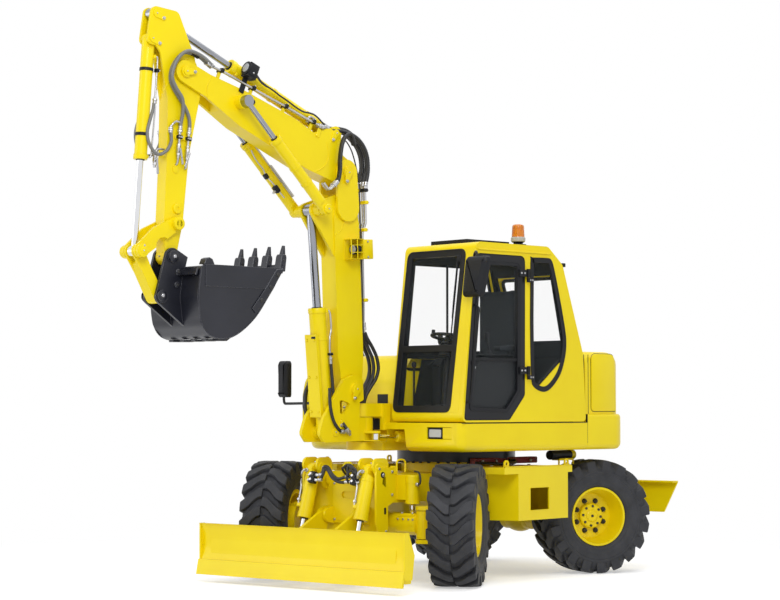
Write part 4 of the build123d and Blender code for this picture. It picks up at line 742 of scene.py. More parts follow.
def cab_trim():
    piece = Piece("cab_rubbers", "upper", BLACK_TRIM, BLACK_PAINT, STEEL, YELLOW)
    quarter = smooth_loop(QUARTER_EDGE, 90)
    frame_strip(piece, quarter, 48, side_spot, CAB_LEFT - 11, CAB_LEFT + 4, DECK)
    frame_strip(piece, rounded(inset(QUARTER, 1), [50, 60, 60, 60, 60]), 7, side_spot, CAB_LEFT - 52,
                CAB_LEFT - 8, DECK, 0, 1)
    frame_strip(piece, rounded(inset(FRONT_WINDOW, 1), 70), 7, screen_spot, -58, -8, DECK, 0, 1)
    frame_strip(piece, quarter, 12, side_spot, CAB_LEFT - 6, CAB_LEFT + 7, DECK)
    loop = rounded(RIGHT_WINDOW, 60)
    frame_strip(piece, loop, 30, lambda p, t: (p[0], CAB_RIGHT - t, p[1]), -11, 4, DECK)
    screen = rounded(SCREEN_EDGE, 78, 8)
    frame_strip(piece, screen, 62, screen_spot, -11, 5, DECK)
    frame_strip(piece, screen, 14, screen_spot, -6, 9, DECK)
    piece.take(*pillar_cover(), DECK, 3)
    tilt = (540.0 - 262.0) / (CAB_TOP - 160 - BELT)
    frame_strip(piece, rounded(REAR_WINDOW, 60), 30,
                lambda p, t: (-540 + tilt * (p[1] - BELT) - t, p[0], p[1]), -14, 5, DECK)
    frame_strip(piece, rounded(inset(DOOR_EDGE, -7), [30, 70, 60, 60, 40]), 7, side_spot, CAB_LEFT - 30,
                CAB_LEFT + 3, DECK)
    # the screen's split bar, a moulding across at the height of the lower pane
    z = 2094
    piece.prism([(front_x(z - 32) - 10, z - 32), (front_x(z - 32) + 4, z - 30), (front_x(z + 32) + 4, z + 30),
                 (front_x(z + 32) - 10, z + 32)], 290, 990, DECK, "y", 0, 3.0)
    # a rain gutter along the roof's left edge and mounts under the cab
    gutter = [(-90, CAB_TOP - 74), (820, CAB_TOP - 74), (862, CAB_TOP - 66), (864, CAB_TOP - 60),
              (-90, CAB_TOP - 60)]
    piece.prism(gutter, CAB_LEFT - 2, CAB_LEFT + 14, DECK, "y", 3, 3.0)
    for x in (-420, 900):
        for y in (CAB_RIGHT + 110, CAB_LEFT - 110):
            local = DECK @ shift(x, y, 1431)
            piece.lathe([(66, 0), (66, 4), (51, 4), (51, 0)], local, "z", 24, 0)
    # handrail up the front post
    rail = [(front_x(CAB_BASE + 180) - 40, CAB_LEFT + 2, CAB_BASE + 180),
            (front_x(CAB_BASE + 200) - 44, CAB_LEFT + 46, CAB_BASE + 210),
            (front_x(CAB_BASE + 500) - 44, CAB_LEFT + 50, CAB_BASE + 500),
            (front_x(CAB_BASE + 900) - 44, CAB_LEFT + 50, CAB_BASE + 900),
            (front_x(CAB_BASE + 1010) - 44, CAB_LEFT + 46, CAB_BASE + 1010),
            (front_x(CAB_BASE + 1040) - 40, CAB_LEFT + 2, CAB_BASE + 1040)]
    piece.hose(rail, 12, DECK, 12, 30, 0)
    # the door's hinges, the half on the cab
    for z in DOOR_HINGES:
        for x in (172, 200):
            local = DECK @ shift(x, CAB_LEFT + 26, z - 20)
            piece.turned([(8, 0), (8, 5), (6, 7)], local, "y", 12, 2)
        piece.box((152, 222), (CAB_LEFT + 20, CAB_LEFT + 28), (z - 42, z + 1), DECK, 0, 3)
        piece.lathe([(16.5, z - 41), (16.5, z - 1), (6, z - 1), (6, z - 41)],
                    DECK @ shift(226, CAB_LEFT + 26, 0), "z", 20, 0)
    # roof hatch rim and its hinges
    piece.box((212, 758), (442, 898), (CAB_TOP + 34, CAB_TOP + 40), DECK, 0, 2)
    for y in (540, 790):
        piece.box((206, 238), (y - 26, y + 26), (CAB_TOP + 8, CAB_TOP + 36), DECK, 0, 4)
    # a small work lamp bracket on the slope behind
    piece.box((-330, -292), (CAB_LEFT - 60, CAB_LEFT - 20), (CAB_TOP - 176, CAB_TOP - 140), DECK, 0, 5)
    piece.done(32)


def wiper():
    """The wiper's motor housing, arm and blade, on the windscreen."""
    def on_screen(y, z, out):
        return screen_spot((y, z), out)
    piece = Piece("screen_wiper", "upper", BLACK_TRIM, BLACK_PAINT)
    piece.box((front_x(2900) - 12, front_x(2900) + 12), (900, 958), (2862, 2926), DECK, 0, 6)
    piece.hose([on_screen(930, 2884, 6), on_screen(926, 2860, 16), on_screen(916, 2700, 10),
                on_screen(908, 2560, 6)], 6, DECK, 8, 40, 1)
    blade = [on_screen(914, 2860, -4), on_screen(908, 2560, -6), on_screen(902, 2215, -4)]
    piece.hose(blade, 6, DECK, 8, 60, 0)
    spine = [on_screen(912, 2760, 4), on_screen(908, 2560, 8), on_screen(905, 2360, 4)]
    piece.hose(spine, 4, DECK, 8, 60, 1)
    piece.done(40)


def door_trim():
    piece = Piece("door_trim", "door", BLACK_TRIM, BLACK_PAINT, STEEL, WINDOW)
    loop = rounded(DOOR_WINDOW, [50, 60, 60, 60, 50])
    frame_strip(piece, loop, 34, side_spot, CAB_LEFT - 19, CAB_LEFT + 4, DECK)
    frame_strip(piece, loop, 30, side_spot, CAB_LEFT - 44, CAB_LEFT - 27, DECK)
    frame_strip(piece, rounded(inset(DOOR_WINDOW, -3), [50, 60, 60, 60, 50]), 9, side_spot, CAB_LEFT - 6,
                CAB_LEFT + 7, DECK)
    # bar across the pane and the dark lower half behind it
    low = [(944, CAB_BASE + 128), (893, CAB_BASE + 556), (334, CAB_BASE + 556), (334, CAB_BASE + 284),
           (482, CAB_BASE + 114)]
    piece.prism(rounded(low, [30, 8, 8, 40, 40]), CAB_LEFT - 34, CAB_LEFT - 27, DECK, "y", 0)
    piece.prism([(334, CAB_BASE + 548), (898, CAB_BASE + 548), (894, CAB_BASE + 574), (334, CAB_BASE + 574)],
                CAB_LEFT - 19, CAB_LEFT - 6, DECK, "y", 0, 3)
    # handle
    piece.box((880, 940), (CAB_LEFT - 8, CAB_LEFT + 10), (CAB_BASE + 505, CAB_BASE + 545), DECK, 0, 4)
    piece.hose([(846, CAB_LEFT + 2, CAB_BASE + 524), (852, CAB_LEFT + 22, CAB_BASE + 524),
                (900, CAB_LEFT + 25, CAB_BASE + 524), (924, CAB_LEFT + 12, CAB_BASE + 524)], 8, DECK, 10, 12,
                1)
    local = DECK @ shift(910, CAB_LEFT + 8, CAB_BASE + 485)
    piece.turned([(13, 0), (13, 6), (10, 8)], local, "y", 20, 2)
    # inner grab bar
    piece.hose([(350, CAB_LEFT - 46, CAB_BASE + 600), (360, CAB_LEFT - 80, CAB_BASE + 600),
                (600, CAB_LEFT - 84, CAB_BASE + 600), (850, CAB_LEFT - 80, CAB_BASE + 600),
                (862, CAB_LEFT - 46, CAB_BASE + 600)], 11, DECK, 10, 30, 0)
    for z in DOOR_HINGES:
        piece.box((246, 338), (CAB_LEFT + 12, CAB_LEFT + 28), (z + 8, z + 72), DECK, 0, 4)
        for x in (275, 318):
            local = DECK @ shift(x, CAB_LEFT + 27, z + 40)
            piece.turned([(9, 0), (9, 5), (7, 7)], local, "y", 12, 2)
        piece.lathe([(16.5, z + 1), (16.5, z + 79), (5, z + 79), (5, z + 1)],
                    DECK @ shift(226, CAB_LEFT + 26, 0), "z", 20, 0)
    piece.done(32)


SEAT_LINE, CAB_FLOOR = 677.5, CAB_BASE + 41


def steering_column(piece):
    """The steering wheel, its spokes, boss, column and shroud."""
    y0, floor = SEAT_LINE, CAB_FLOOR
    wheel = DECK @ shift(745, y0, floor + 722) @ Matrix.Rotation(-0.17, 4, "Y")
    rows, sides = 44, 10
    verts, faces = [], []
    for i in range(rows):
        a = 2 * math.pi * i / rows
        for k in range(sides):
            b = 2 * math.pi * k / sides
            r = 172 + 15 * math.cos(b)
            verts.append((r * math.cos(a), r * math.sin(a), 15 * math.sin(b)))
            one, two, nxt = i * sides, (i + 1) % rows * sides, (k + 1) % sides
            faces.append((one + k, one + nxt, two + nxt, two + k))
    piece.take(verts, faces, wheel, 0)
    piece.turned([(40, -44), (52, -30), (54, -8), (48, 6), (30, 12)], wheel, "z", 28, 0)
    for a in (0.5, 2.64, 4.71):
        spoke = wheel @ Matrix.Rotation(a, 4, "Z")
        piece.box((34, 165), (-14, 14), (-12, 2), spoke, 0, 4)
    piece.rod((95, -135, 12), (95, -135, 56), 16, wheel, 16, 0)
    piece.rod((760, y0, floor + 690), (830, y0, floor + 20), 34, DECK, 24, 0)
    piece.prism(rounded([(720, floor + 520), (842, floor + 540), (822, floor + 664), (790, floor + 704),
                         (722, floor + 700), (700, floor + 610)], 18), y0 - 62, y0 + 62, DECK, "y", 0, 8, 2)
    piece.box((770, 870), (y0 - 52, y0 + 52), (floor, floor + 60), DECK, 0, 12, 2)


def driver_controls(piece):
    """The monitor, the consoles with their levers, the pedals and the mat."""
    y0, floor = SEAT_LINE, CAB_FLOOR
    # monitor on the dash's end, behind the door's pillar
    monitor = rounded([(760, floor + 500), (830, floor + 540), (800, floor + 720), (745, floor + 700)], 14)
    piece.prism(monitor, 840, 960, DECK, "y", 0, 8, 2)
    piece.box((740, 748), (852, 948), (floor + 560, floor + 680), DECK, 1, 2)
    piece.rod((800, 900, floor + 60), (790, 900, floor + 540), 16, DECK, 14, 0)
    # side consoles with armrests, levers and boots
    for side in (1, -1):
        y = y0 + side * 300
        half = 43 if side > 0 else 57
        console = rounded([(150, floor), (620, floor), (644, floor + 30), (640, floor + 470),
                           (600, floor + 556), (170, floor + 556), (150, floor + 520)], 24)
        piece.prism(console, y - half, y + half, DECK, "y", 5, 8, 2)
        rest = rounded([(180, floor + 600), (450, floor + 600), (462, floor + 640), (190, floor + 660)], 16)
        piece.prism(rest, y - 40, y + 40, DECK, "y", 3, 8, 2)
        piece.rod((300, y, floor + 552), (300, y, floor + 606), 18, DECK, 14, 0)
        boot = DECK @ shift(556, y, floor + 555)
        piece.turned([(40, 0), (36, 8), (38, 12), (28, 24), (30, 28), (20, 42), (14, 50)], boot, "z", 20, 0)
        piece.hose([(556, y, floor + 590), (562, y, floor + 640), (580, y, floor + 690)], 10, DECK, 12, 15, 1)
        knob = DECK @ shift(582, y, floor + 696)
        piece.turned([(14, -30), (22, -10), (26, 20), (24, 58), (12, 74)], knob, "z", 20, 0)
    piece.rod((560, y0 - 330, floor + 556), (700, y0 - 352, floor + 470), 9, DECK, 10, 0)
    piece.turned([(12, 0), (22, 10), (22, 44), (12, 56)], DECK @ shift(860, 318, floor + 452), "z", 16, 0)
    piece.rod((860, 318, floor + 10), (860, 318, floor + 456), 10, DECK, 12, 1)
    # pedals and mat
    piece.box((640, 1000), (300, 1060), (floor + 1, floor + 14), DECK, 0, 4)
    for y in (600, 745):
        pedal = DECK @ shift(900, y, floor + 70) @ Matrix.Rotation(-0.6, 4, "Y")
        piece.box((-80, 80), (-38, 38), (-7, 7), pedal, 0, 4)
        for k in range(6):
            piece.box((-68 + 26 * k, -58 + 26 * k), (-32, 32), (7, 11), pedal, 0, 1)


def cab_linings(piece):
    """The rear shelf, the walls below the windows, the pillars, the header and the headliner."""
    floor, inner_right, inner_left = CAB_FLOOR, CAB_RIGHT + 41, CAB_LEFT - 41
    piece.box((-528, -300), (inner_right, inner_left), (floor + 2, floor + 560), DECK, 5, 20, 2)
    piece.prism([(-500, 2040), (-476, 2130), (-458, 2180), (-300, 2186), (-300, 2030)], inner_right,
                inner_left, DECK, "y", 5, 6)
    piece.prism([(-248, 2788), (-219, 2871), (-50, 2997), (-36, 2988), (-210, 2862), (-236, 2788)],
                inner_right, inner_left, DECK, "y", 5)
    left_wall = [(-480, floor + 2), (430, floor + 2), (236, CAB_BASE + 240), (232, 2150), (176, 2150),
                 (140, 1700), (20, 1690), (-150, 1760), (-270, 1950), (-300, 2150), (-500, 2065)]
    door_post = [(232, 2150), (232, 2960), (176, 2960), (176, 2150)]
    rear_post = [(-498, 2066), (-300, 2150), (-110, 2915), (-60, 2990), (-219, 2870)]
    for outline in (left_wall, door_post, rear_post):
        piece.prism(outline, inner_left - 8, inner_left, DECK, "y", 5)
    piece.prism([(-480, floor + 2), (1012, floor + 2), (1006, 1562), (830, 1562), (716, 2000), (716, 2010),
                 (-460, 2010)], inner_right, inner_right + 8, DECK, "y", 5)
    piece.prism([(940, 1896), (956, 1896), (862, 2960), (846, 2910)], inner_right, inner_right + 8, DECK,
                "y", 5)
    piece.prism([(-440, 2012), (958, 2012), (948, 2096), (-468, 2096)], inner_right - 2, inner_right + 6,
                DECK, "y", 5)
    right_header = [(-498, 2066), (-398, 2066), (-180, 2898), (846, 2898), (836, 2994), (-52, 2994),
                    (-220, 2870)]
    piece.prism(right_header, inner_right, inner_right + 8, DECK, "y", 5)
    piece.prism([(CAB_RIGHT + 60, 2990), (CAB_LEFT - 60, 2990), (CAB_LEFT - 44, 2960), (CAB_LEFT - 44, 2900),
                 (CAB_LEFT - 60, 2890), (CAB_LEFT - 80, 2966), (CAB_RIGHT + 80, 2966), (CAB_RIGHT + 60, 2890),
                 (CAB_RIGHT + 44, 2900), (CAB_RIGHT + 44, 2960)], -52, 840, DECK, "x", 5)
    for k in range(13):
        y = 300 + 60 * k
        piece.box((-48, 838), (y, y + 26), (2958, 2966), DECK, 0, 3)
    for y in (CAB_RIGHT + 42, CAB_LEFT - 78):
        piece.hose([(806, y, 2950), (932, y, 1900), (972, y, 1560)], 20, DECK, 10, 60, 0)
    piece.box((355, 372), (CAB_RIGHT + 14, CAB_RIGHT + 34), (1902, 2895), DECK, 0, 3)
    piece.box((-48, 228), (inner_right + 1, inner_left - 1), (2984, 2990), DECK, 5)
    # linings beside the rear window
    for low, high in ((inner_right, CAB_RIGHT + 88), (CAB_LEFT - 88, inner_left)):
        piece.prism([(-498, 2066), (-249, 2790), (-238, 2790), (-486, 2066)], low, high, DECK, "y", 5)


def cab_inside():
    piece = Piece("cab_fittings", "upper", BLACK_TRIM, BLACK_PAINT, DIAL, CLOTH, STEEL, LINING)
    steering_column(piece)
    driver_controls(piece)
    cab_linings(piece)
    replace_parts(piece.done(35), "cab_controls")


def seat_pad(name, low, high, crown, rides, tilt=0.0):
    """A foam pad, grown from a rounded block with cloth pressure."""
    size = [high[i] - low[i] for i in range(3)]
    centre = [(high[i] + low[i]) / 2 for i in range(3)]
    mesh = bmesh.new()
    bmesh.ops.create_cube(mesh, size=1.0)
    bmesh.ops.scale(mesh, vec=(size[0] * MM, size[1] * MM, size[2] * MM), verts=mesh.verts)
    bmesh.ops.bevel(mesh, geom=list(mesh.edges), offset=min(size) * 0.28 * MM, segments=4, affect="EDGES",
                    profile=0.6)
    data = bpy.data.meshes.new(name)
    mesh.to_mesh(data)
    mesh.free()
    obj = bpy.data.objects.new(name, data)
    bpy.context.scene.collection.objects.link(obj)
    swell(obj, crown)
    for polygon in obj.data.polygons:
        polygon.use_smooth = True
    obj.data.materials.append(CLOTH)
    obj.data.transform(DECK @ shift(*centre) @ Matrix.Rotation(tilt, 4, "Y"))
    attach(obj, rides)
    return obj


def swell(obj, cap):
    """Voxel remesh, cloth pressure for twenty frames, each point's travel capped, then one subdivision."""
    scene = bpy.context.scene
    remesh = obj.modifiers.new("remesh", "REMESH")
    remesh.mode = "VOXEL"
    remesh.voxel_size = 0.006
    settle(obj)
    start = [v.co.copy() for v in obj.data.vertices]
    cloth = obj.modifiers.new("foam", "CLOTH")
    cloth.settings.use_pressure = True
    cloth.settings.uniform_pressure_force = 4.0
    cloth.settings.effector_weights.gravity = 0.0
    cloth.settings.quality = 6
    cloth.settings.mass = 0.3
    cloth.settings.tension_stiffness = 18
    cloth.point_cache.frame_start, cloth.point_cache.frame_end = 1, 20
    for step in range(1, 21):
        scene.frame_set(step)
    settle(obj)
    for vert, was in zip(obj.data.vertices, start):
        move = vert.co - was
        if move.length > cap * MM:
            vert.co = was + move.normalized() * cap * MM
    scene.frame_set(1)
    sub = obj.modifiers.new("smooth", "SUBSURF")
    sub.levels = sub.render_levels = 1
    settle(obj)


def settle(obj):
    """Apply an object's modifiers to its mesh."""
    graph = bpy.context.evaluated_depsgraph_get()
    made = bpy.data.meshes.new_from_object(obj.evaluated_get(graph), depsgraph=graph)
    obj.modifiers.clear()
    old, obj.data = obj.data, made
    bpy.data.meshes.remove(old)


def seat():
    y0, floor = SEAT_LINE, CAB_BASE + 40
    cushion = seat_pad("seat_cushion", (128, y0 - 228, floor + 308), (588, y0 + 228, floor + 412), 9, "upper")
    back = seat_pad("seat_back", (40, y0 - 232, floor + 420), (158, y0 + 232, floor + 1168), 9, "upper")
    piece = Piece("seat_base", "upper", BLACK_TRIM, BLACK_PAINT, CLOTH)
    piece.box((150, 520), (y0 - 168, y0 + 168), (floor + 4, floor + 250), DECK, 0, 16, 2)
    for k in range(7):
        z = floor + 60 + 26 * k
        piece.box((144, 526), (y0 - 174, y0 + 174), (z, z + 16), DECK, 0, 6)
    piece.box((132, 560), (y0 - 205, y0 + 205), (floor + 268, floor + 304), DECK, 1, 8)
    piece.prism(rounded([(42, floor + 330), (66, floor + 330), (72, floor + 1050), (60, floor + 1074),
                         (44, floor + 1050)], 6), y0 - 200, y0 + 200, DECK, "y", 0, 6, 2)
    for y in (y0 - 150, y0 + 150):
        piece.rod((60, y, floor + 300), (60, y, floor + 420), 12, DECK, 12, 1)
    # sewn channels down both pads
    for y in (y0 - 120, y0 + 120):
        piece.hose([(160, y, floor + 414), (360, y, floor + 420), (570, y, floor + 414)], 3, DECK, 8, 30, 0)
        piece.hose([(158, y, floor + 460), (162, y, floor + 740), (158, y, floor + 1020)], 3, DECK, 8, 30, 0)
    for obj in (piece.done(35), cushion, back):
        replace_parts(obj, "seat")


cab_trim()
wiper()
door_trim()
cab_inside()
seat()


# ---------------------------------------------------------------- fittings shared by the gear
def keeper(piece, at, pin_at, face, angle, radius=50.0, side=1, material=0, bolt=1):
    """A pin's end cap with its flag plate and bolt, on a plate's outer face."""
    x, z = pin_at
    local = at @ shift(x, face * side, z) @ Matrix.Rotation(-angle, 4, "Y")
    if side < 0:
        local = local @ Matrix.Scale(-1, 4, (0, 1, 0))
    flag = []
    for k in range(9):
        a = math.pi / 2 + math.pi * k / 8
        flag.append((radius * 0.78 * math.cos(a), radius * 0.78 * math.sin(a)))
    for k in range(7):
        a = -math.pi / 2 + math.pi * k / 6
        flag.append((radius * 1.75 + 20 * math.cos(a), 20 * math.sin(a)))
    piece.prism(flag, 0, 9, local, "y", material, 1.5)
    spot = local @ shift(radius * 1.75, 9, 0)
    piece.turned([(15, 0), (15, 3)], spot, "y", 16, bolt)
    piece.turned([(12, 3), (12, 13), (10, 15)], spot, "y", 6, bolt)
    piece.turned([(6, 8), (6, 15), (4, 17)], local, "y", 12, bolt)


def union(piece, at, start, end, radius, material, hex_material=None):
    """A hose end: crimped sleeve, swivel hexagon and collar along a line."""
    start, end = Vector(start), Vector(end)
    way = end - start
    length = way.length
    way.normalize()
    u = way.cross(upright(way)).normalized()
    local = at @ Matrix.Translation(start * MM) @ Matrix((u, way, u.cross(way))).transposed().to_4x4()
    cuts = [(radius * 0.95, 0), (radius * 1.12, 3), (radius * 1.12, length * 0.2),
            (radius * 0.98, length * 0.22), (radius * 1.12, length * 0.25), (radius * 1.12, length * 0.42),
            (radius * 0.8, length * 0.46)]
    piece.turned(cuts, local, "y", 16, material)
    hexes = material if hex_material is None else hex_material
    piece.turned([(radius * 1.35, length * 0.48), (radius * 1.35, length * 0.7),
                  (radius * 1.2, length * 0.73)], local,
                 "y", 6, hexes)
    piece.turned([(radius * 0.75, length * 0.4), (radius * 0.75, length)], local, "y", 14, material)


def p_clamp(piece, at, spot, across, up, count, pitch, radius, material, bolt):
    """A bar clamp that holds pipes along x side by side, with a bolt between them."""
    frame_at = Matrix((across, (1, 0, 0), up)).transposed().to_4x4()
    local = at @ shift(*spot) @ frame_at
    width = pitch * (count - 1) / 2 + radius + 14
    piece.box((-width, width), (-16, 16), (-radius - 6, radius + 6), local, material, 5)
    piece.turned([(9, radius + 6), (9, radius + 13)], local, "z", 6, bolt)
    for side in (-1, 1):
        nut = local @ shift(side * (width - 9), 0, 0)
        piece.turned([(7, radius + 6), (7, radius + 12)], nut, "z", 6, bolt)


def stop_valve(piece, at, x, y, z, steel, lever, swing=0.0):
    """A ball valve in a pipe that runs along x: body, end hexagons and a flat lever."""
    local = at @ shift(x, y, z)
    piece.box((-24, 24), (-17, 17), (-17, 17), local, steel, 5)
    for side in (1, -1):
        piece.turned([(19, side * 22), (19, side * 44), (15, side * 48)], local, "x", 6, steel)
        piece.turned([(13, side * 44), (13, side * 66)], local, "x", 14, steel)
    piece.rod((0, 12, 0), (0, 34, 0), 7, local, 12, steel)
    arm = local @ Matrix.Rotation(swing, 4, "Y")
    piece.box((-12, 118), (30, 35), (-9, 9), arm, lever, 2)
    piece.box((60, 122), (29, 36), (-11, 11), arm, lever, 4)


# ---------------------------------------------------------------- arm gear
def arm_fittings():
    piece = Piece("arm_fittings", "arm", YELLOW, STEEL, BLACK_TRIM, HOSE, CAST)
    # pins' keepers on both faces
    for side in (1, -1):
        keeper(piece, ARM, (-441, 317), 60, -1.2, 44, side)
        keeper(piece, ARM, (-223, 340), 60, -1.15, 44, side)
        local = ARM @ shift(1170, 60 * side, -30)
        piece.turned([(42, 0), (42, side * 14), (38, side * 18), (16, side * 18), (16, side * 12)], local,
                     "y", 28, 0)
        piece.turned([(34, 0), (34, side * 5), (32, side * 6)], ARM @ shift(840, 60 * side, 10), "y", 20, 0)
        # weld seams: top plate on the box, closing plate at the tip
        piece.hose([(-170, side * 60.5, -105), (-60, side * 61, 20), (110, side * 61, 140),
                    (200, side * 61, 190)], 4,
                   ARM, 6, 20, 0)
        piece.hose([(1280, side * 60.5, -70), (1280, side * 60.5, 40)], 3.5, ARM, 6, 20, 0)
    for x, z in ((1582, 66), (1300, -94), (0, -164)):
        piece.turned([(7, 0), (7, 8), (5, 12), (3, 16)], ARM @ shift(x, 0, z), "z", 10, 1)
    # pipes down the left face, with a bar clamp, stop valves and levers
    for y, z, top, end in ((82, -86, 560, 790), (84, 10, 560, 770)):
        piece.rod((top - 40, y, z), (end - 60, y, z), 10, ARM, 14, 1)
        stop_valve(piece, ARM, end - 90, y, z, 1, 1, 0.25 if z > 0 else -0.3)
        piece.hose([(end - 30, y, z), (end, y - 2, z), (end + 22, y - 10, z), (end + 30, 61, z)], 10, ARM,
                   12, 8, 1)
    piece.box((548, 584), (60, 74), (-122, 44), ARM, 0, 3)
    for z in (-86, 10):
        p_clamp(piece, ARM, (566, 84, z), (0, 0, 1), (0, 1, 0), 1, 0, 12, 2, 1)
    union(piece, ARM, (470, 84, -88), (545, 82, -86), 17, 1)
    union(piece, ARM, (470, 84, 8), (545, 84, 10), 17, 1)
    for x in (625, 655):
        for y, z in ((82, -86), (84, 10)):
            piece.turned([(18, x), (18, x + 18)], ARM @ shift(0, y, z), "x", 6, 1)
    # cross-over pipe at the hose ends, as on an auxiliary line
    piece.hose([(500, 74, 100), (470, 84, 92), (440, 88, 60), (440, 86, 20)], 9, ARM, 12, 10, 1)
    union(piece, ARM, (536, 76, 100), (480, 76, 100), 15, 1)
    # front face: small pipe with a shut-off cock hanging by the bucket cylinder
    stop_valve(piece, ARM, 790, 50, 222, 1, 1, 0.12)
    piece.hose([(735, 50, 222), (700, 50, 205), (690, 46, 160), (690, 40, 118)], 9, ARM, 12, 10, 1)
    piece.box((672, 708), (20, 60), (96, 128), ARM, 0, 3)
    piece.done(32)


def arm_hoses():
    piece = Piece("arm_loop_hoses", "boom_upper", GREY_HOSE, STEEL, BLACK_TRIM)
    for y, out in ((84, 0.0), (118, 8.0)):
        line = [(-88, y - 4, -276), (-146, y, -160 - out), (-165 - out, y + 2, -60), (-158 - out, y + 4, 20),
                (-101 - out, y + 6, 86 + out), (-10, y + 8, 140 + out), (86, y + 8, 152 + out),
                (165, y + 4, 108), (235, y + 2, 40)]
        if y == 84:
            line += [(309, y, -30), (380, y, -74), (440, y, -88), (475, 84, -88)]
        else:
            line += [(300, y - 10, 12), (370, y - 22, 2), (430, y - 32, 5), (475, 84, 8)]
        piece.hose(line, 16, ARM, 12, 14, 0)
    piece.hose([(-150, 88, -128), (-162, 90, -90), (-168, 92, -52)], 21, ARM, 12, 12, 2)
    piece.done(40, ("boom_upper", "arm", ARM @ mm(-170, 90, -40), ARM @ mm(120, 90, 100)))


def bucket_cylinder_pipes():
    piece = Piece("bucket_cylinder_pipes", "bucket_barrel", STEEL, HOSE, BLACK_TRIM, YELLOW)
    at = BUCKET_CYL
    for side in (1, -1):
        y = 46 * side
        line = [(150, y * 0.8, -40), (146, y, -66), (170, y, -74), (230, y, -76), (420, y, -76),
                (500, y, -74)]
        piece.hose(line, 8, at, 12, 16, 0)
        piece.box((136, 164), (y - 16, y + 16), (-52, -30), at, 3, 4)
        p_clamp(piece, at, (262, y, -74), (0, 1, 0), (0, 0, -1), 1, 0, 9, 2, 0)
        piece.lathe([(55, 248), (59, 250), (59, 274), (55, 276)], at, "x", 36, 2)
        union(piece, at, (545, y, -74), (486, y, -74), 15, 0)
        piece.hose([(1000, y * 0.7, -38), (1002, y * 0.9, -62), (980, y, -74), (900, y, -76),
                    (560, y + side * 6, -80)],
                   7, at, 12, 16, 0)
        piece.box((985, 1012), (y * 0.7 - 14, y * 0.7 + 14), (-52, -30), at, 3, 4)
    piece.lathe([(55, 800), (59, 802), (59, 826), (55, 828)], at, "x", 36, 2)
    piece.lathe([(58.6, 985), (60.5, 987), (60.5, 1019), (57, 1024)], at, "x", 36, 3)
    piece.lathe([(29, 1024), (38, 1024), (36, 1031), (29, 1031)], at, "x", 28, 2)
    piece.done(35)
    loops = Piece("bucket_cylinder_hoses", "bucket_barrel", GREY_HOSE, STEEL, BLACK_TRIM)
    for side in (1, -1):
        y = 62 * side
        front = 0 if side > 0 else 30
        loops.hose([(316, 44 * side, 269), (360, 46 * side, 273), (422, 52 * side, 292 + front),
                    (500, y, 318 + front), (575, y, 330 + front), (640, y + 4 * side, 318 + front),
                    (693, y + 8 * side, 289 + front), (735, y + 12 * side, 244), (742, y + 14 * side, 190),
                    (694, y + 16 * side, 124), (620, y + 18 * side, 90), (560, y + 16 * side, 94),
                    (534, 78 * side, 100)], 14, ARM, 12, 14, 0)
        union(loops, ARM, (545, 77 * side, 100), (500, 76 * side, 100), 16, 1)
    loops.done(40, ("bucket_barrel", "arm", ARM @ mm(420, 0, 330), ARM @ mm(640, 0, 130)))


def linkage_fittings():
    piece = Piece("rocker_fittings", "rockers", YELLOW, STEEL)
    for side in (1, -1):
        for x in (0, 447):
            local = ROCKER @ shift(x, 126 * side, 0)
            piece.turned([(54, 0), (54, side * 6), (48, side * 8)], local, "y", 36, 0)
            if x:
                piece.turned([(30, side * 7), (30, side * 10), (27, side * 12)], local, "y", 28, 0)
                piece.turned([(7, side * 10), (7, side * 16), (4, side * 18)], local, "y", 10, 1)
        piece.turned([(9, 0), (9, side * 9), (7, side * 11)], ROCKER @ shift(415, 126 * side, 30), "y", 6, 1)
    piece.done(35)
    link = Piece("link_fittings", "bucket_link", YELLOW, STEEL)
    start = place("link_pivot")
    at = axes(start, BUCKET_AT @ mm(0, 0, 0) - start, LEFT)
    link.turned([(7, 0), (7, 8), (5, 12), (3, 16)], at @ shift(30, 0, 56), "z", 10, 1)
    link.done(35)


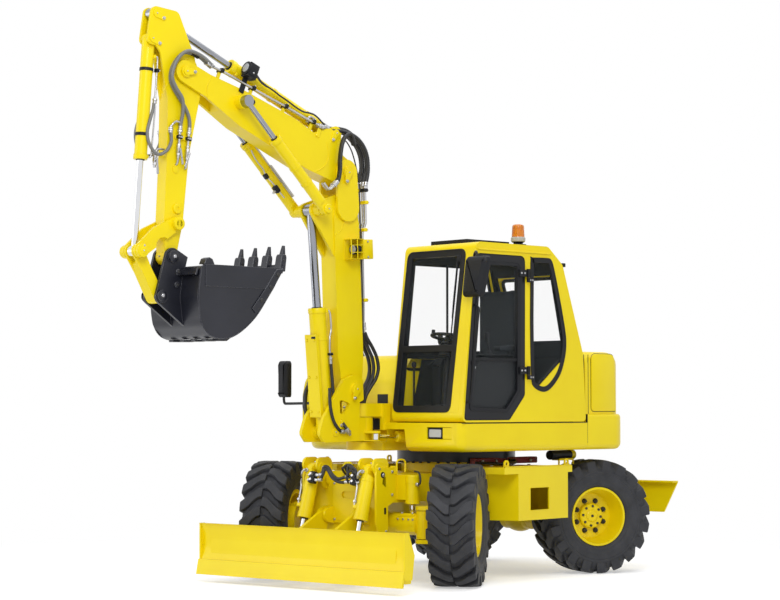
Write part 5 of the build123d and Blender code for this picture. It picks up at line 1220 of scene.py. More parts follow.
def bucket_fittings():
    piece = Piece("bucket_fittings", "bucket", BUCKET, STEEL, CAST)
    for side in (1, -1):
        for x, z in ((0, 0), (123, -332)):
            local = BUCKET_AT @ shift(x, 112 * side, z)
            piece.turned([(48, 0), (48, side * 5), (43, side * 8)], local, "y", 32, 0)
            piece.turned([(16, side * 6), (16, side * 17), (13, side * 19)], local, "y", 6, 1)
            piece.turned([(22, side * 6), (22, side * 9)], local, "y", 20, 2)
        # corner plates and side cutters on the bucket's flanks
        edge = [(-1012, -70), (-880, -262), (-700, -462), (-660, -420), (-820, -230), (-930, -80)]
        piece.prism(edge, *sorted((330 * side, 342 * side)), BUCKET_AT, "y", 0, 2)
        for x, z in ((-940, -125), (-860, -236), (-760, -350)):
            local = BUCKET_AT @ shift(x, 342 * side, z)
            piece.turned([(17, 0), (17, side * 6), (12, side * 10)], local, "y", 20, 2)
        piece.prism([(-1006, -66), (-160, -66), (-160, -252), (-892, -252)],
                    *sorted((330 * side, 336 * side)), BUCKET_AT, "y", 0, 1.5)
        # lap line of the curved sheet on the flank
        rim = [(-120, -105), (-92, -340), (-124, -566), (-236, -672), (-450, -668), (-688, -508),
               (-897, -242)]
        piece.hose([(x, side * 331, z) for x, z in rim], 5, BUCKET_AT, 6, 30, 0)
    # wear strips under the belly and a stiffener across the back
    for y in (-230, -77, 77, 230):
        strip = [(-230, -690), (-450, -685), (-690, -525), (-696, -540), (-452, -702), (-228, -706)]
        piece.prism(strip, y - 28, y + 28, BUCKET_AT, "y", 0, 2)
    piece.prism(rounded([(-100, -100), (-76, -160), (-60, -160), (-84, -96)], 4), -320, 320, BUCKET_AT, "y",
                0, 2)
    # tooth adapters with their pins
    for step in range(4):
        y = -284 + step * 568 / 3
        local = BUCKET_AT @ shift(-1018, y, -26) @ Matrix.Rotation(-0.16, 4, "Y")
        piece.prism([(-34, -62), (34, -62), (30, 62), (20, 84), (-20, 84), (-30, 62)], -40, 40, local, "y",
                    0, 5)
        piece.rod((0, -48, 30), (0, 48, 30), 9, local, 12, 2)
    # bosses with bolts on the hanger ears, and the ears' feet
    for side in (1, -1):
        for x, z in ((-52, -128), (-40, -236)):
            local = BUCKET_AT @ shift(x, 92 * side, z)
            piece.turned([(26, 0), (26, side * 10), (22, side * 13)], local, "y", 24, 0)
            piece.turned([(13, side * 12), (13, side * 20), (11, side * 22)], local, "y", 6, 2)
        ridge = [(-150, -66), (-170, -20), (-205, -6), (-240, -22), (-262, -66)]
        piece.prism(ridge, *sorted((250 * side, 330 * side)), BUCKET_AT, "y", 0, 4)
    piece.done(32)


# ---------------------------------------------------------------- upper boom
def upper_boom():
    piece = Piece("upper_boom_fittings", "boom_upper", YELLOW, STEEL, BLACK_TRIM, HOSE, LENS)
    at = UPPER
    for side in (1, -1):
        keeper(piece, at, (1954, 0), 113, 2.75, 46, side)
    for side in (1, -1):
        keeper(piece, at, (230, 285), 95, -1.35, 44, side)
        piece.turned([(22, 0), (22, side * 12), (19, side * 15), (9, side * 15), (9, side * 8)],
                     at @ shift(1205, 95 * side, 96), "y", 24, 2 if side > 0 else 0)
        # seam where the nose's side plates lap the box
        piece.hose([(1650, side * 95.5, -112), (1700, side * 96, -20), (1690, side * 95.5, 100)], 3.5, at, 6,
                   20, 0)
        # doubler plate round the elbow
        piece.hose([(330, side * 95.5, -160), (250, side * 96, -60), (230, side * 96, 40),
                    (300, side * 95.5, 158)], 3.5,
                   at, 6, 20, 0)
    # two steel pipes along the top on the left, on brackets with clamps
    for y, lift in ((78, 0), (108, -8)):
        line = [(1700, y, 180 + lift), (1519, y, 196 + lift), (1286, y, 208 + lift), (1049, y, 222 + lift),
                (807, y, 238 + lift), (620, y, 246 + lift), (470, y, 256 + lift)]
        piece.hose(line, 10, at, 14, 40, 1)
        union(piece, at, (1790, y + 2, 175 + lift), (1700, y, 180 + lift), 17, 1)
        union(piece, at, (395, y, 262 + lift), (470, y, 256 + lift), 17, 1)
    for x, z in ((1620, 186), (1250, 208), (860, 232), (520, 252)):
        p_clamp(piece, at, (x, 93, z - 3), (0, 1, 0), (0, 0, 1), 2, 30, 12, 2, 1)
        piece.box((x - 14, x + 14), (70, 94), (100, z - 16), at, 0, 3)
    piece.box((404, 446), (94, 106), (150, 232), at, 0, 4)
    # cluster of elbows where pipes turn into hoses
    for x, y, z in ((560, 70, 262), (505, 40, 266), (455, 10, 270), (500, -20, 262)):
        local = at @ shift(x, y, z)
        piece.turned([(15, -30), (15, 0), (12, 6)], local, "z", 6, 1)
        piece.hose([(x, y, z), (x - 4, y, z + 20), (x - 30, y, z + 34), (x - 80, y, z + 34)], 10, at, 12, 8,
                   1)
    # lamp in its housing on the strap, with its cable along the top
    lamp = at @ shift(1356, 140, 318)
    piece.turned([(52, 40), (60, 44), (62, 56), (54, 60)], lamp, "x", 28, 2)
    piece.turned([(50, 57), (30, 63), (2, 65)], lamp, "x", 28, 4)
    piece.box((-46, 46), (-54, 54), (-60, 60), lamp, 2, 16, 2)
    for k in range(5):
        piece.box((-52, -40), (-44, 44), (-50 + 22 * k, -42 + 22 * k), lamp, 2, 2)
    piece.rod((0, -60, -30), (0, 60, -30), 8, lamp, 12, 1)
    cable = [(1310, 130, 322), (1260, 118, 322), (1202, 112, 300), (1120, 110, 292), (1048, 110, 292),
             (960, 110, 284), (858, 110, 282), (760, 108, 276), (662, 106, 280), (600, 104, 300),
             (536, 100, 316), (470, 96, 312), (411, 90, 300), (330, 84, 300)]
    piece.hose(cable, 8, at, 10, 20, 3)
    piece.hose([(1300, 132, 315), (1240, 120, 300), (1190, 116, 286), (1120, 114, 284)], 6, at, 10, 20, 3)
    piece.done(32)


def arm_cylinder_fittings():
    piece = Piece("arm_cylinder_fittings", "arm_barrel", YELLOW, STEEL, BLACK_TRIM)
    at = ARM_CYL
    piece.lathe([(64.4, 1212), (66, 1214), (66, 1252), (62, 1262.5), (31, 1262.5)], at, "x", 40, 0)
    piece.lathe([(31, 1262), (40, 1262), (38, 1270), (31, 1270)], at, "x", 28, 2)
    for side in (1, -1):
        piece.box((1176, 1206), sorted((side * 26, side * 54)), (-62, -36), at, 0, 4)
    for x in (300, 720):
        piece.lathe([(61, x), (65, x + 2), (65, x + 26), (61, x + 28)], at, "x", 36, 0)
    piece.done(32)


# ---------------------------------------------------------------- lower boom
def lower_boom():
    piece = Piece("lower_boom_fittings", "boom_lower", YELLOW, STEEL, BLACK_TRIM, HOSE, LENS)
    at = LOWER
    for side in (1, -1):
        keeper(piece, at, (1953, 0), 145, 3.5, 50, side)
        eye = at @ shift(1612, 0, -345)
        piece.turned([(36, side * 226), (42, side * 228), (42, side * 246), (38, side * 250)], eye, "y", 30,
                     0)
        piece.turned([(7, side * 249), (7, side * 255)], eye, "y", 10, 1)
        piece.hose([(1380, side * 95.5, -148), (1450, side * 96, -60), (1600, side * 96, -20),
                    (1690, side * 95.5, 20)],
                   3.5, at, 6, 20, 0)
        spot = at @ shift(1630, 84 * side, -200)
        piece.turned([(16, 0), (16, side * 10), (13, side * 13)], spot, "y", 6, 1)
    # pipes down the back, on the cab side
    jog = [(1790, 0, 244), (1720, 0, 244), (1560, 0, 242), (1500, 0, 238), (1440, -16, 222), (1380, -18, 212),
           (1165, -18, 204), (801, -18, 198), (600, -18, 190)]
    for y, radius, share in ((84, 13, 1), (50, 13, 0.5), (8, 11, 0.5), (-26, 11, 0.5)):
        piece.hose([(x, y + dy * share, z) for x, dy, z in jog], radius, at, 14, 36, 1)
        union(piece, at, (600, y - 16 * share, 190), (505, y - 12, 188), radius * 1.45, 1)
        union(piece, at, (1880, y, 262), (1790, y, 244), radius * 1.45, 1)
    for x, z in ((1802, 244), (1690, 244), (1440, 222), (800, 198)):
        p_clamp(piece, at, (x, 28, z), (0, 1, 0), (0, 0, 1), 4, 36, 15, 0 if x < 1750 else 2, 1)
        piece.box((x - 12, x + 12), (12, 40), (120, z - 14), at, 0, 3)
    cable = [(1850, 98, 170), (1700, 99, 164), (1500, 99, 163), (1340, 99, 163), (1180, 99, 163),
             (800, 99, 162), (560, 98, 158), (470, 92, 170), (380, 70, 230)]
    piece.hose(cable, 6, at, 10, 30, 3)
    # lamp: a folded guard on the near flank with a round lamp in its open half
    for x in (1168, 1346):
        piece.prism(rounded([(x, 112), (x + 6, 112), (x + 6, -44), (x, -44)], 1), 96, 196, at, "y", 0)
    piece.box((1168, 1352), (96, 190), (106, 112), at, 0, 2)
    piece.box((1172, 1350), (96, 148), (112, 268), at, 0, 8, 2)
    for x in (1168, 1226, 1292, 1346):
        piece.box((x, x + 6), (184, 196), (-44, 108), at, 0, 2)
    for z in (-44, 30):
        piece.box((1168, 1352), (186, 196), (z, z + 8), at, 0, 2)
        piece.box((1168, 1352), (96, 102), (z, z + 8), at, 0, 2)
    lamp = at @ shift(1258, 146, 34)
    piece.turned([(18, 66), (40, 56), (46, 30), (48, 0), (50, -6), (50, -14), (45, -18)], lamp, "z", 30, 2)
    piece.turned([(45, -15), (36, -21), (4, -24)], lamp, "z", 30, 4)
    for x in (1190, 1330):
        piece.turned([(10, 148), (10, 156), (8, 158)], at @ shift(x, 0, 200), "y", 6, 1)
    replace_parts(piece.done(32), "boom_lower_lamp")


def elbow_hoses():
    piece = Piece("elbow_hoses", "boom_lower", HOSE, STEEL, BLACK_TRIM)
    for y, lift, top in ((88, 0, 0), (52, 14, 26), (10, 4, 10), (-26, 18, 30)):
        line = [(1880, y, 262), (1930, y, 278), (2000, y, 290 + lift), (2100, y, 286 + lift),
                (2190, y, 250 + lift), (2262, y, 182 + lift), (2306 + top, y, 90), (2326 + top, y, -10),
                (2336 + top * 0.6, y * 0.9, -110), (2352, y * 0.86, -170)]
        piece.hose(line, 17, LOWER, 14, 12, 0, 2.6, 14)
        union(piece, LOWER, (2352, y * 0.86, -168), (2376, y * 0.86, -250), 20, 1)
    thin = [(2260, 112, -40), (2230, 118, 10), (2160, 120, 60), (2080, 112, 100), (2000, 104, 130),
            (1850, 98, 170)]
    piece.hose(thin, 6, LOWER, 10, 20, 0)
    piece.done(40, ("boom_lower", "boom_upper", LOWER @ mm(1960, 0, 60),
                                  LOWER @ mm(2120, 0, -150)))


def elbow_loop():
    piece = Piece("elbow_loop_hose", "boom_lower", HOSE, STEEL, BLACK_TRIM)
    for y, out in ((134, 0), (160, 10)):
        line = [(2210, y - 40, 110), (2276 + out, y - 20, 60), (2290 + out, y, 10), (2262 + out, y, -38),
                (2192, y, -72 - out), (2064, y, -98 - out), (1974, y, -104 - out), (1900, y, -122 - out),
                (1866, y, -150)]
        piece.hose(line, 15, LOWER, 12, 12, 0, 2.4, 13)
        union(piece, LOWER, (1866, y, -150), (1812, y, -218), 18, 1)
        piece.hose([(1815, y, -214), (1796, y, -240), (1794, y, -262), (1812, y, -284), (1850, y, -318)], 11,
                   LOWER, 12, 10, 1)
    piece.done(40)


def positioning_pipes():
    piece = Piece("positioning_cylinder_pipes", "positioning_barrels", STEEL, HOSE, BLACK_TRIM, YELLOW)
    at = POS_CYL
    for side in (1, -1):
        y0 = 200 * side
        inner = -side
        barrel = at @ shift(0, y0, 0)
        for k in (0, 1):
            y = y0 + inner * (36 + 22 * k)
            z = 46 - 12 * k if side > 0 else 40
            end = 520 if k else 770
            piece.hose([(150, y, z), (200, y, z), (end - 40, y, z), (end, y, z - 4),
                        (end + 16, y0 + inner * 30, 30), (end + 16, y0 + inner * 20, 22)], 8, at, 12, 26, 0)
        piece.box((end + 2, end + 34), (y0 - 16, y0 + 16), (36, 58), at, 3, 4)
        for x in (300, 480):
            piece.lathe([(51, x), (54, x + 2), (54, x + 24), (51, x + 26)], barrel, "x", 32, 3)
        piece.lathe([(54.5, 784), (56.5, 786), (56.5, 824), (52, 829)], barrel, "x", 36, 3)
        piece.lathe([(25, 828), (33, 828), (31, 835), (25, 835)], barrel, "x", 24, 2)
    # a valve and thin line between the two cylinders
    tube = [(760, -148, -30), (700, -140, -52), (640, -136, -60), (560, -132, -58), (500, -128, -80),
            (420, -126, -70), (330, -126, -66), (220, -128, -60)]
    piece.hose(tube, 6, at, 10, 24, 0)
    piece.box((470, 520), (-150, -112), (-100, -62), at, 2, 5)
    piece.box((300, 370), (-152, -108), (-96, -50), at, 2, 6)
    piece.rod((335, -130, -96), (335, -130, -130), 12, at, 14, 0)
    piece.done(35)


def lift_fittings():
    piece = Piece("lift_cylinder_pipes", "lift_barrel", STEEL, HOSE, BLACK_TRIM, YELLOW)
    at = LIFT_CYL
    for side in (1, -1):
        line = [(1080, side * 54, 60), (1084, side * 58, 84), (1060, side * 62, 96), (960, side * 66, 96),
                (900, side * 68, 88), (850, side * 78, 62), (800, side * 84, 52), (740, side * 82, 48),
                (690, side * 82, 48)]
        piece.hose(line, 9, at, 12, 14, 0)
        piece.box((1066, 1098), sorted((side * 38, side * 68)), (52, 78), at, 3, 5)
        union(piece, at, (605, side * 84, 48), (690, side * 82, 48), 15, 0)
        piece.box((682, 706), sorted((side * 66, side * 104)), (28, 70), at, 2, 4)
    piece.lathe([(80.5, 1066), (82, 1068), (82, 1108), (78, 1114), (39, 1114)], at, "x", 48, 3)
    piece.lathe([(39, 1113), (50, 1113), (48, 1121), (39, 1121)], at, "x", 32, 2)
    for x in (200, 820):
        piece.lathe([(77, x), (80, x + 2), (80, x + 30), (77, x + 32)], at, "x", 44, 3)
    piece.box((842, 862), (10, 66), (-101, -98), at, 2, 1)
    for x in (190, 500, 830):
        for y in (-50, 50):
            local = at @ shift(x, y, -96)
            piece.turned([(13, 0), (13, -4)], local, "z", 16, 3)
            piece.turned([(10, -4), (10, -11), (8, -13)], local, "z", 6, 3)
    piece.done(35)
    hoses = Piece("lift_cylinder_hoses", "lift_barrel", HOSE, STEEL)
    hoses.hose([(608, 84, 48), (540, 86, 48), (463, 88, 48), (330, 90, 50), (191, 98, 62), (110, 120, 80),
                (60, 150, 96), (20, 172, 108)], 15, at, 12, 18, 0)
    union(hoses, at, (22, 171, 107), (-40, 168, 150), 18, 1)
    far = [(608, -84, 48), (540, -92, 40), (470, -120, 0), (400, -150, -50), (300, -160, -80),
           (180, -150, -70), (90, -150, -20), (30, -160, 30)]
    hoses.hose(far, 15, at, 12, 18, 0)
    hoses.done(40, ("lift_barrel", "swing_post", LIFT_CYL @ mm(360, 0, 40),
                                  LIFT_CYL @ mm(40, 0, 100)))


def foot_hoses():
    piece = Piece("boom_foot_hoses", "boom_lower", HOSE, STEEL, BLACK_TRIM)
    for y, out in ((66, 0), (36, 26), (2, 10), (-30, 34), (84, 40)):
        line = [(505, y, 188), (450, y, 200 + out * 0.4), (360, y, 240 + out), (270, y, 286 + out),
                (170, y, 300 + out), (80, y * 0.9, 280 + out * 0.8), (10, y * 0.8, 240 + out * 0.4),
                (-70, y * 0.7, 200), (-150, y * 0.6, 176)]
        piece.hose(line, 16, LOWER, 12, 18, 0)
    piece.done(40, ("boom_lower", "swing_post", LOWER @ mm(360, 0, 120),
                                  LOWER @ mm(-40, 0, 120)))


def post_fittings():
    piece = Piece("swing_post_fittings", "swing_post", YELLOW, STEEL, BLACK_TRIM, HOSE)
    at = DECK
    for side in (1, -1):
        keeper(piece, at, (1419, 1733), 160, -1.2, 50, side)
        keeper(piece, at, (1661, 1348), 140, 2.4, 50, side)
        local = at @ shift(1560, 140 * side, 1570)
        piece.turned([(13, 0), (13, side * 10), (11, side * 12)], local, "y", 6, 1)
        spot = at @ shift(1590, 140 * side, 1440)
        piece.turned([(16, 0), (16, side * 12), (13, side * 15)], spot, "y", 16, 0)
    piece.box((1330, 1350), (-60, 60), (1262, 1470), at, 0, 4)
    # far-side hoses that come out in front of the post
    for off in (0, 34):
        line = [(1690, -158, 1850 + off), (1728, -166, 1740), (1742 + off * 0.4, -170, 1640),
                (1744 + off * 0.5, -170, 1560), (1716, -168, 1480), (1660, -160, 1400), (1600, -150, 1350)]
        piece.hose(line, 14, at, 12, 18, 3)
    # hoses down to the foot's ports
    left = [(1740, 152, 1740), (1734, 152, 1589), (1699, 154, 1456), (1640, 156, 1376), (1612, 156, 1360)]
    right = [(1769, -152, 1679), (1756, -152, 1500), (1661, -154, 1364), (1600, -156, 1340)]
    for side, line in ((1, left), (-1, right)):
        piece.hose(line, 15, DECK, 12, 18, 3)
        union(piece, DECK, (1612, 156 * side, 1352), (1545, 156 * side, 1348), 17, 1)
    piece.done(32)


arm_fittings()
arm_hoses()
bucket_cylinder_pipes()
linkage_fittings()
bucket_fittings()
upper_boom()
arm_cylinder_fittings()
lower_boom()
elbow_hoses()
elbow_loop()
positioning_pipes()
lift_fittings()
foot_hoses()
post_fittings()


# ---------------------------------------------------------------- chassis and blade
def blade_gear():
    """Lock valves, pipes and hoses on the blade's cylinders."""
    piece = Piece("blade_cylinder_pipes", "blade_barrels", STEEL, BLACK_TRIM, BRASS, YELLOW, HOSE)
    at = BLADE_CYL
    for side in (1, -1):
        y = 330 * side
        barrel = at @ shift(0, y, 0)
        piece.lathe([(62.4, 408), (65, 411), (65, 458), (61, 468.6), (25, 468.6)], barrel, "x", 44, 3)
        piece.lathe([(25, 468), (35, 468), (33, 477), (25, 477)], barrel, "x", 28, 1)
        piece.lathe([(62.4, 96), (64.5, 98), (64.5, 122), (62.4, 124)], barrel, "x", 44, 3)
        # lower pipe on the barrel's front, to the rod end's port
        piece.hose([(118, y - 84, 40), (150, y - 78, 50), (182, y - 64, 52), (260, y - 60, 50),
                    (326, y - 60, 50), (352, y - 56, 46), (356, y - 46, 38)], 8, at, 12, 12, 0)
        piece.turned([(17, 300), (17, 318), (14, 322)], at @ shift(0, y - 60, 50), "x", 6, 0)
        piece.box((338, 374), (y - 72, y - 32), (26, 58), at, 3, 6)
        # upper elbow at the base port
        piece.box((30, 62), (y - 36, y + 2), (40, 66), at, 3, 6)
        piece.turned([(19, 60), (19, 76), (15, 80)], at @ shift(46, y - 18, 0), "z", 6, 0)
        piece.hose([(46, y - 18, 76), (46, y - 20, 94), (60, y - 30, 104), (86, y - 44, 96),
                    (104, y - 60, 74)], 10, at,
                   12, 10, 0)
        piece.turned([(7, -46), (7, -54), (4, -57)], at @ shift(0, y, 0), "x", 10, 0)
    for y, z in ((-252, 72), (214, 44)):
        block = at @ shift(112, y, z)
        piece.box((-52, 52), (-30, 30), (-28, 28), block, 1, 5)
        piece.turned([(16, 28), (16, 44), (12, 50)], block @ shift(-26, 0, 0), "z", 6, 0)
        piece.turned([(13, 28), (13, 40)], block @ shift(22, 0, 0), "z", 6, 0)
        for x in (-24, 22):
            piece.turned([(17, 28), (17, 46), (13, 50), (13, 62)], block @ shift(x, 0, 0), "y", 6, 0)
            piece.turned([(17, -28), (17, -46), (13, -50), (13, -58)], block @ shift(x, 0, 0), "y", 6, 0)
        piece.box((-40, 40), (-44, -26), (-40, -22), block, 3, 3)
    piece.done(35)
    hoses = Piece("blade_cylinder_hoses", "blade_barrels", HOSE, STEEL)
    for k, x in enumerate((88, 134)):
        drop = 24 * k
        hoses.hose([(x, -186, 72), (x - 10, -158, 74), (x - 70 + drop, -136, 82), (10 + drop, -118, 84),
                    (22 + drop, -86, 78), (78 + drop, -40, 62), (112 + drop, 24, 50), (x + 8, 92, 46),
                    (x, 138, 44), (x, 156, 44)], 13, at, 12, 14, 0, 2.0, 11)
        hoses.hose([(x, 152, 60), (x - 30, 150, 84), (x - 84, 166, 104 - drop),
                    (20 + k * 20, 206, 108 - drop), (34 + k * 24, 246, 96), (84, 262, 74), (112, 262, 60)],
                    11, at, 12, 14, 0)
        union(hoses, at, (x - 4, -140, 76), (x, -192, 72), 15, 1)
        union(hoses, at, (x + 4, 108, 46), (x, 160, 44), 15, 1)
    feed = [(122, 262, 60), (140, 240, 20), (96, 180, -30), (20, 120, -60), (-40, 60, -40), (-20, 20, -10),
            (10, 10, -60), (20, 0, -110)]
    hoses.hose(feed, 11, at, 12, 16, 0)
    hoses.hose([(p[0] + 16, p[1] - 30, p[2] - 10) for p in feed], 11, at, 12, 16, 0)
    hoses.done(40)


FRONT_AXLE, REAR_AXLE, AXLE_HEIGHT = 1320, -1025, 537


def tower_side(piece, at, side):
    """One side of the blade's tower: pin caps on the housings, bolts, a slot and gussets."""
    for y in (238, 422):
        spot = at @ shift(1650, y * side, 1030)
        out = side * (1 if y > 300 else -1)
        piece.turned([(46, 0), (46, out * 7), (42, out * 10)], spot, "y", 32, 0)
        piece.turned([(13, out * 9), (13, out * 18), (11, out * 20)], spot, "y", 6, 1)
    spot = at @ shift(1606, 436 * side, 976)
    piece.turned([(26, 0), (26, side * 6)], spot, "y", 28, 2)
    piece.turned([(17, side * 5), (17, side * 15), (14, side * 18)], spot, "y", 6, 1)
    slot_line = rounded([(1560, 630), (1586, 630), (1586, 690), (1560, 690)], 12)
    piece.prism(slot_line, *sorted((side * 436, side * 438)), at, "y", 2)
    for x, z in ((1478, 1000), (1478, 800), (1560, 480)):
        piece.turned([(14, 0), (14, side * 9), (12, side * 11)], at @ shift(x, 436 * side, z), "y", 6, 1)
    for y in (224, 436):
        piece.prism([(1562, 860), (1612, 900), (1600, 950), (1562, 960)],
                    *sorted((side * (y - 6), side * y)), at, "y", 0, 1.5)


def lock_cylinder(piece, at, side):
    """An axle lock cylinder's cap, gland, rod shield and port, and the pad that it stands on."""
    spot = at @ shift(FRONT_AXLE, 540 * side, 0)
    piece.turned([(66, 900), (66, 962), (60, 969)], spot, "z", 36, 0)
    piece.lathe([(62.3, 716), (65, 718), (65, 742), (62.3, 744)], spot, "z", 36, 0)
    piece.lathe([(20.4, 640), (21, 641), (21, 716), (20.4, 717)], spot, "z", 28, 7)
    piece.turned([(17, 0), (17, side * 20), (13, side * 24)], at @ shift(1340, 600 * side, 890), "y", 6, 1)
    piece.hose([(1340, side * 622, 890), (1340, side * 640, 896), (1330, side * 640, 930),
                (1300, side * 600, 990), (1240, side * 500, 1000)], 9, at, 10, 14, 3)
    piece.box((-78, 78), (-78, 78), (604, 634), spot, 0, 6)
    piece.box((-92, 92), (-120, 96), (470, 606), spot, 0, 16, 2)
    for x in (-70, 70):
        for y in (-60, 60):
            piece.turned([(11, 634), (11, 643), (9, 645)], spot @ shift(x, y, 0), "z", 6, 1)
    for out in (-1, 1):
        for y in (-90, -30, 30, 80):
            piece.turned([(10, 0), (10, 7 * out)], spot @ shift(92 * out, y, 585), "x", 6, 1)


def steering_rods(piece, at, side):
    """Half of the steering cylinder behind each axle, with its rod and end."""
    for x, back in ((FRONT_AXLE, -1), (REAR_AXLE, 1)):
        line = at @ shift(x + back * 178, 0, AXLE_HEIGHT)
        for start, end, radius, sides, material in ((60, 250, 34, 28, 0), (250, 262, 38, 28, 0),
                                                    (262, 560, 15, 18, 7), (545, 600, 26, 20, 5)):
            piece.rod((0, side * start, 0), (0, side * end, 0), radius, line, sides, material)
        piece.box((-30 if back < 0 else -16, 16 if back < 0 else 30), sorted((side * 70, side * 110)),
                  (-44, 44), line, 0, 5)


def step_side(piece, at, side):
    """The frame of the side's opening, the tread's ribs and bolts, and the step's lip."""
    loop = rounded([(22, 632), (328, 632), (328, 848), (22, 848)], 12)
    frame_strip(piece, loop, 9, lambda p, t: (p[0], side * (1100 + t), p[1]), -2, 3, at, 0, 1.5)
    for k in range(9):
        piece.box((-240 + 84 * k, -190 + 84 * k), sorted((side * 960, side * 1040)), (1030, 1033), at, 0, 1)
    for x in (-180, 60, 400):
        piece.turned([(15, 0), (15, 8), (12, 10)], at @ shift(x, side * 720, 1030), "z", 6, 1)
    piece.prism(rounded([(-330, 1031), (700, 1031), (700, 1040), (-330, 1040)], 3),
                *sorted((side * 1088, side * 1100)), at, "y", 0, 2)


def under_deck(piece, at):
    """On the left: the hydraulic block, the accumulator, the loops, the pipes and a bracket."""
    piece.box((-545, 400), (470, 560), (1040, 1100), at, 4, 8)
    for x in (-420, -150, 120, 330):
        piece.turned([(15, 560), (15, 572), (12, 575)], at @ shift(x, 0, 1070), "y", 6, 1)
    piece.rod((-400, 800, 1118), (-720, 800, 1118), 44, at, 32, 2)
    piece.rod((-720, 800, 1118), (-780, 800, 1118), 45, at, 32, 0)
    piece.box((-560, -520), (740, 860), (1066, 1076), at, 0, 4)
    piece.hose([(-412, 900, 1031), (-412, 900, 1060), (-430, 900, 1078), (-620, 900, 1078), (-641, 900, 1060),
                (-641, 900, 1031)], 9, at, 10, 16, 0)
    for k in range(3):
        y = 700 + 26 * k
        piece.hose([(400 - 30 * k, y - 160, 1060), (380 - 30 * k, y - 60, 1056), (300, y, 1052),
                    (171, y, 1050), (40, y - 20, 1060), (-60, y - 120, 1080)], 12, at, 12, 20, 3)
    piece.box((1350, 1420), (360, 400), (970, 1050), at, 0, 5)
    piece.hose([(1366, 400, 1000), (1366, 400, 1080), (1340, 400, 1102), (1280, 400, 1102), (1250, 400, 1080),
                (1250, 400, 990)], 8, at, 10, 14, 0)


def chassis_fittings():
    piece = Piece("chassis_fittings", "chassis", YELLOW, STEEL, BLACK_TRIM, HOSE, OXIDE, CAST, BRASS, CHROME)
    at = CHASSIS
    # slew ring: bolts under its outer flange, and the flange itself
    for k in range(36):
        a = 2 * math.pi * k / 36
        local = at @ shift(541 * math.cos(a), 541 * math.sin(a), 1064)
        piece.turned([(15, 0), (15, -12), (13, -15)], local, "z", 6, 5)
    piece.lathe([(500, 1040), (522, 1040), (522, 1061), (500, 1061)], at, "z", 72, 0)
    for side in (1, -1):
        for part in (tower_side, lock_cylinder, steering_rods, step_side):
            part(piece, at, side)
    # centre joint plates on the tower's face
    piece.prism(rounded([(-118, 560), (110, 560), (110, 610), (-118, 610)], 8), 1580, 1584, at, "x", 0, 1.5)
    piece.turned([(22, 1562), (22, 1566)], at @ shift(0, -24, 647), "x", 24, 2)
    for y in (-145, 195):
        for z in (570, 890):
            piece.turned([(12, 1580), (12, 1588), (10, 1590)], at @ shift(0, y, z), "x", 6, 1)
    under_deck(piece, at)
    # travel gearbox: flanges, bolts and the shafts' joints
    for x in (150, 1075, -370, -780):
        piece.turned([(66, -16), (66, 16)], at @ shift(x, 0, AXLE_HEIGHT), "x", 32, 5)
        for k in range(6):
            a = math.pi * k / 3
            local = at @ shift(x, 50 * math.cos(a), AXLE_HEIGHT + 50 * math.sin(a))
            piece.turned([(9, 16), (9, 24)], local, "x", 6, 1)
    piece.done(32)


def blade_details():
    piece = Piece("blade_fittings", "blade", YELLOW, STEEL, BLACK_TRIM)
    at = CHASSIS
    # end posts, eyes and the top rail
    for side in (1, -1):
        face = side * 1200
        for low, high in ((100, 230), (330, 480)):
            piece.prism(rounded([(2122, low), (2216, low), (2216, high), (2138, high)], 14),
                        *sorted((face - side * 22, face - side * 17)), at, "y", 0, 1)
        spot = at @ shift(1640, 206 * side, 610)
        piece.turned([(40, -36), (40, 36)], spot, "y", 36, 0)
        for y in (296, 364):
            pin_at = at @ shift(1850, side * y, 350)
            out = 1 if y > 330 else -1
            piece.turned([(36, 0), (36, out * side * 22), (32, out * side * 25)], pin_at, "y", 28, 0)
    piece.box((2216, 2240), (-1196, 1196), (521, 527), at, 0, 2)
    piece.done(32)


blade_gear()
chassis_fittings()
blade_details()


# ---------------------------------------------------------------- the upper body
def carved(node, name, cutter, operation, material):
    """A copy of a CAD node's mesh, cut or trimmed by a closed mesh, that stands for the node."""
    data = frame["nodes"][node].data.copy()
    data.name = name
    obj = bpy.data.objects.new(name, data)
    bpy.context.scene.collection.objects.link(obj)
    mesh = bmesh.new()
    mesh.from_mesh(data)
    bmesh.ops.remove_doubles(mesh, verts=mesh.verts, dist=1e-6)
    mesh.to_mesh(data)
    mesh.free()
    tool_data = bpy.data.meshes.new(name + "_tool")
    bmesh.ops.recalc_face_normals(cutter.mesh, faces=cutter.mesh.faces)
    cutter.mesh.to_mesh(tool_data)
    cutter.mesh.free()
    tool = bpy.data.objects.new(name + "_tool", tool_data)
    bpy.context.scene.collection.objects.link(tool)
    cut = obj.modifiers.new("cut", "BOOLEAN")
    cut.operation, cut.solver, cut.object = operation, "EXACT", tool
    cut.use_self = True
    bpy.context.view_layer.update()
    settle(obj)
    bpy.data.objects.remove(tool)
    bpy.data.meshes.remove(tool_data)
    mesh = bmesh.new()
    mesh.from_mesh(obj.data)
    bmesh.ops.dissolve_limit(mesh, angle_limit=math.radians(1.0), verts=mesh.verts, edges=mesh.edges)
    mesh.to_mesh(obj.data)
    mesh.free()
    for polygon in obj.data.polygons:
        polygon.use_smooth = True
        polygon.material_index = 0
    obj.data.set_sharp_from_angle(angle=math.radians(28))
    obj.data.materials.clear()
    obj.data.materials.append(material)
    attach(obj, BODY_OF[node])
    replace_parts(obj, node)
    return obj


def corner_arc(x, y, radius, start, steps=12):
    """Points round a plan corner, counter-clockwise over a quarter turn from an angle."""
    return [(x + radius * math.cos(start + math.pi / 2 * k / steps),
             y + radius * math.sin(start + math.pi / 2 * k / steps)) for k in range(steps + 1)]


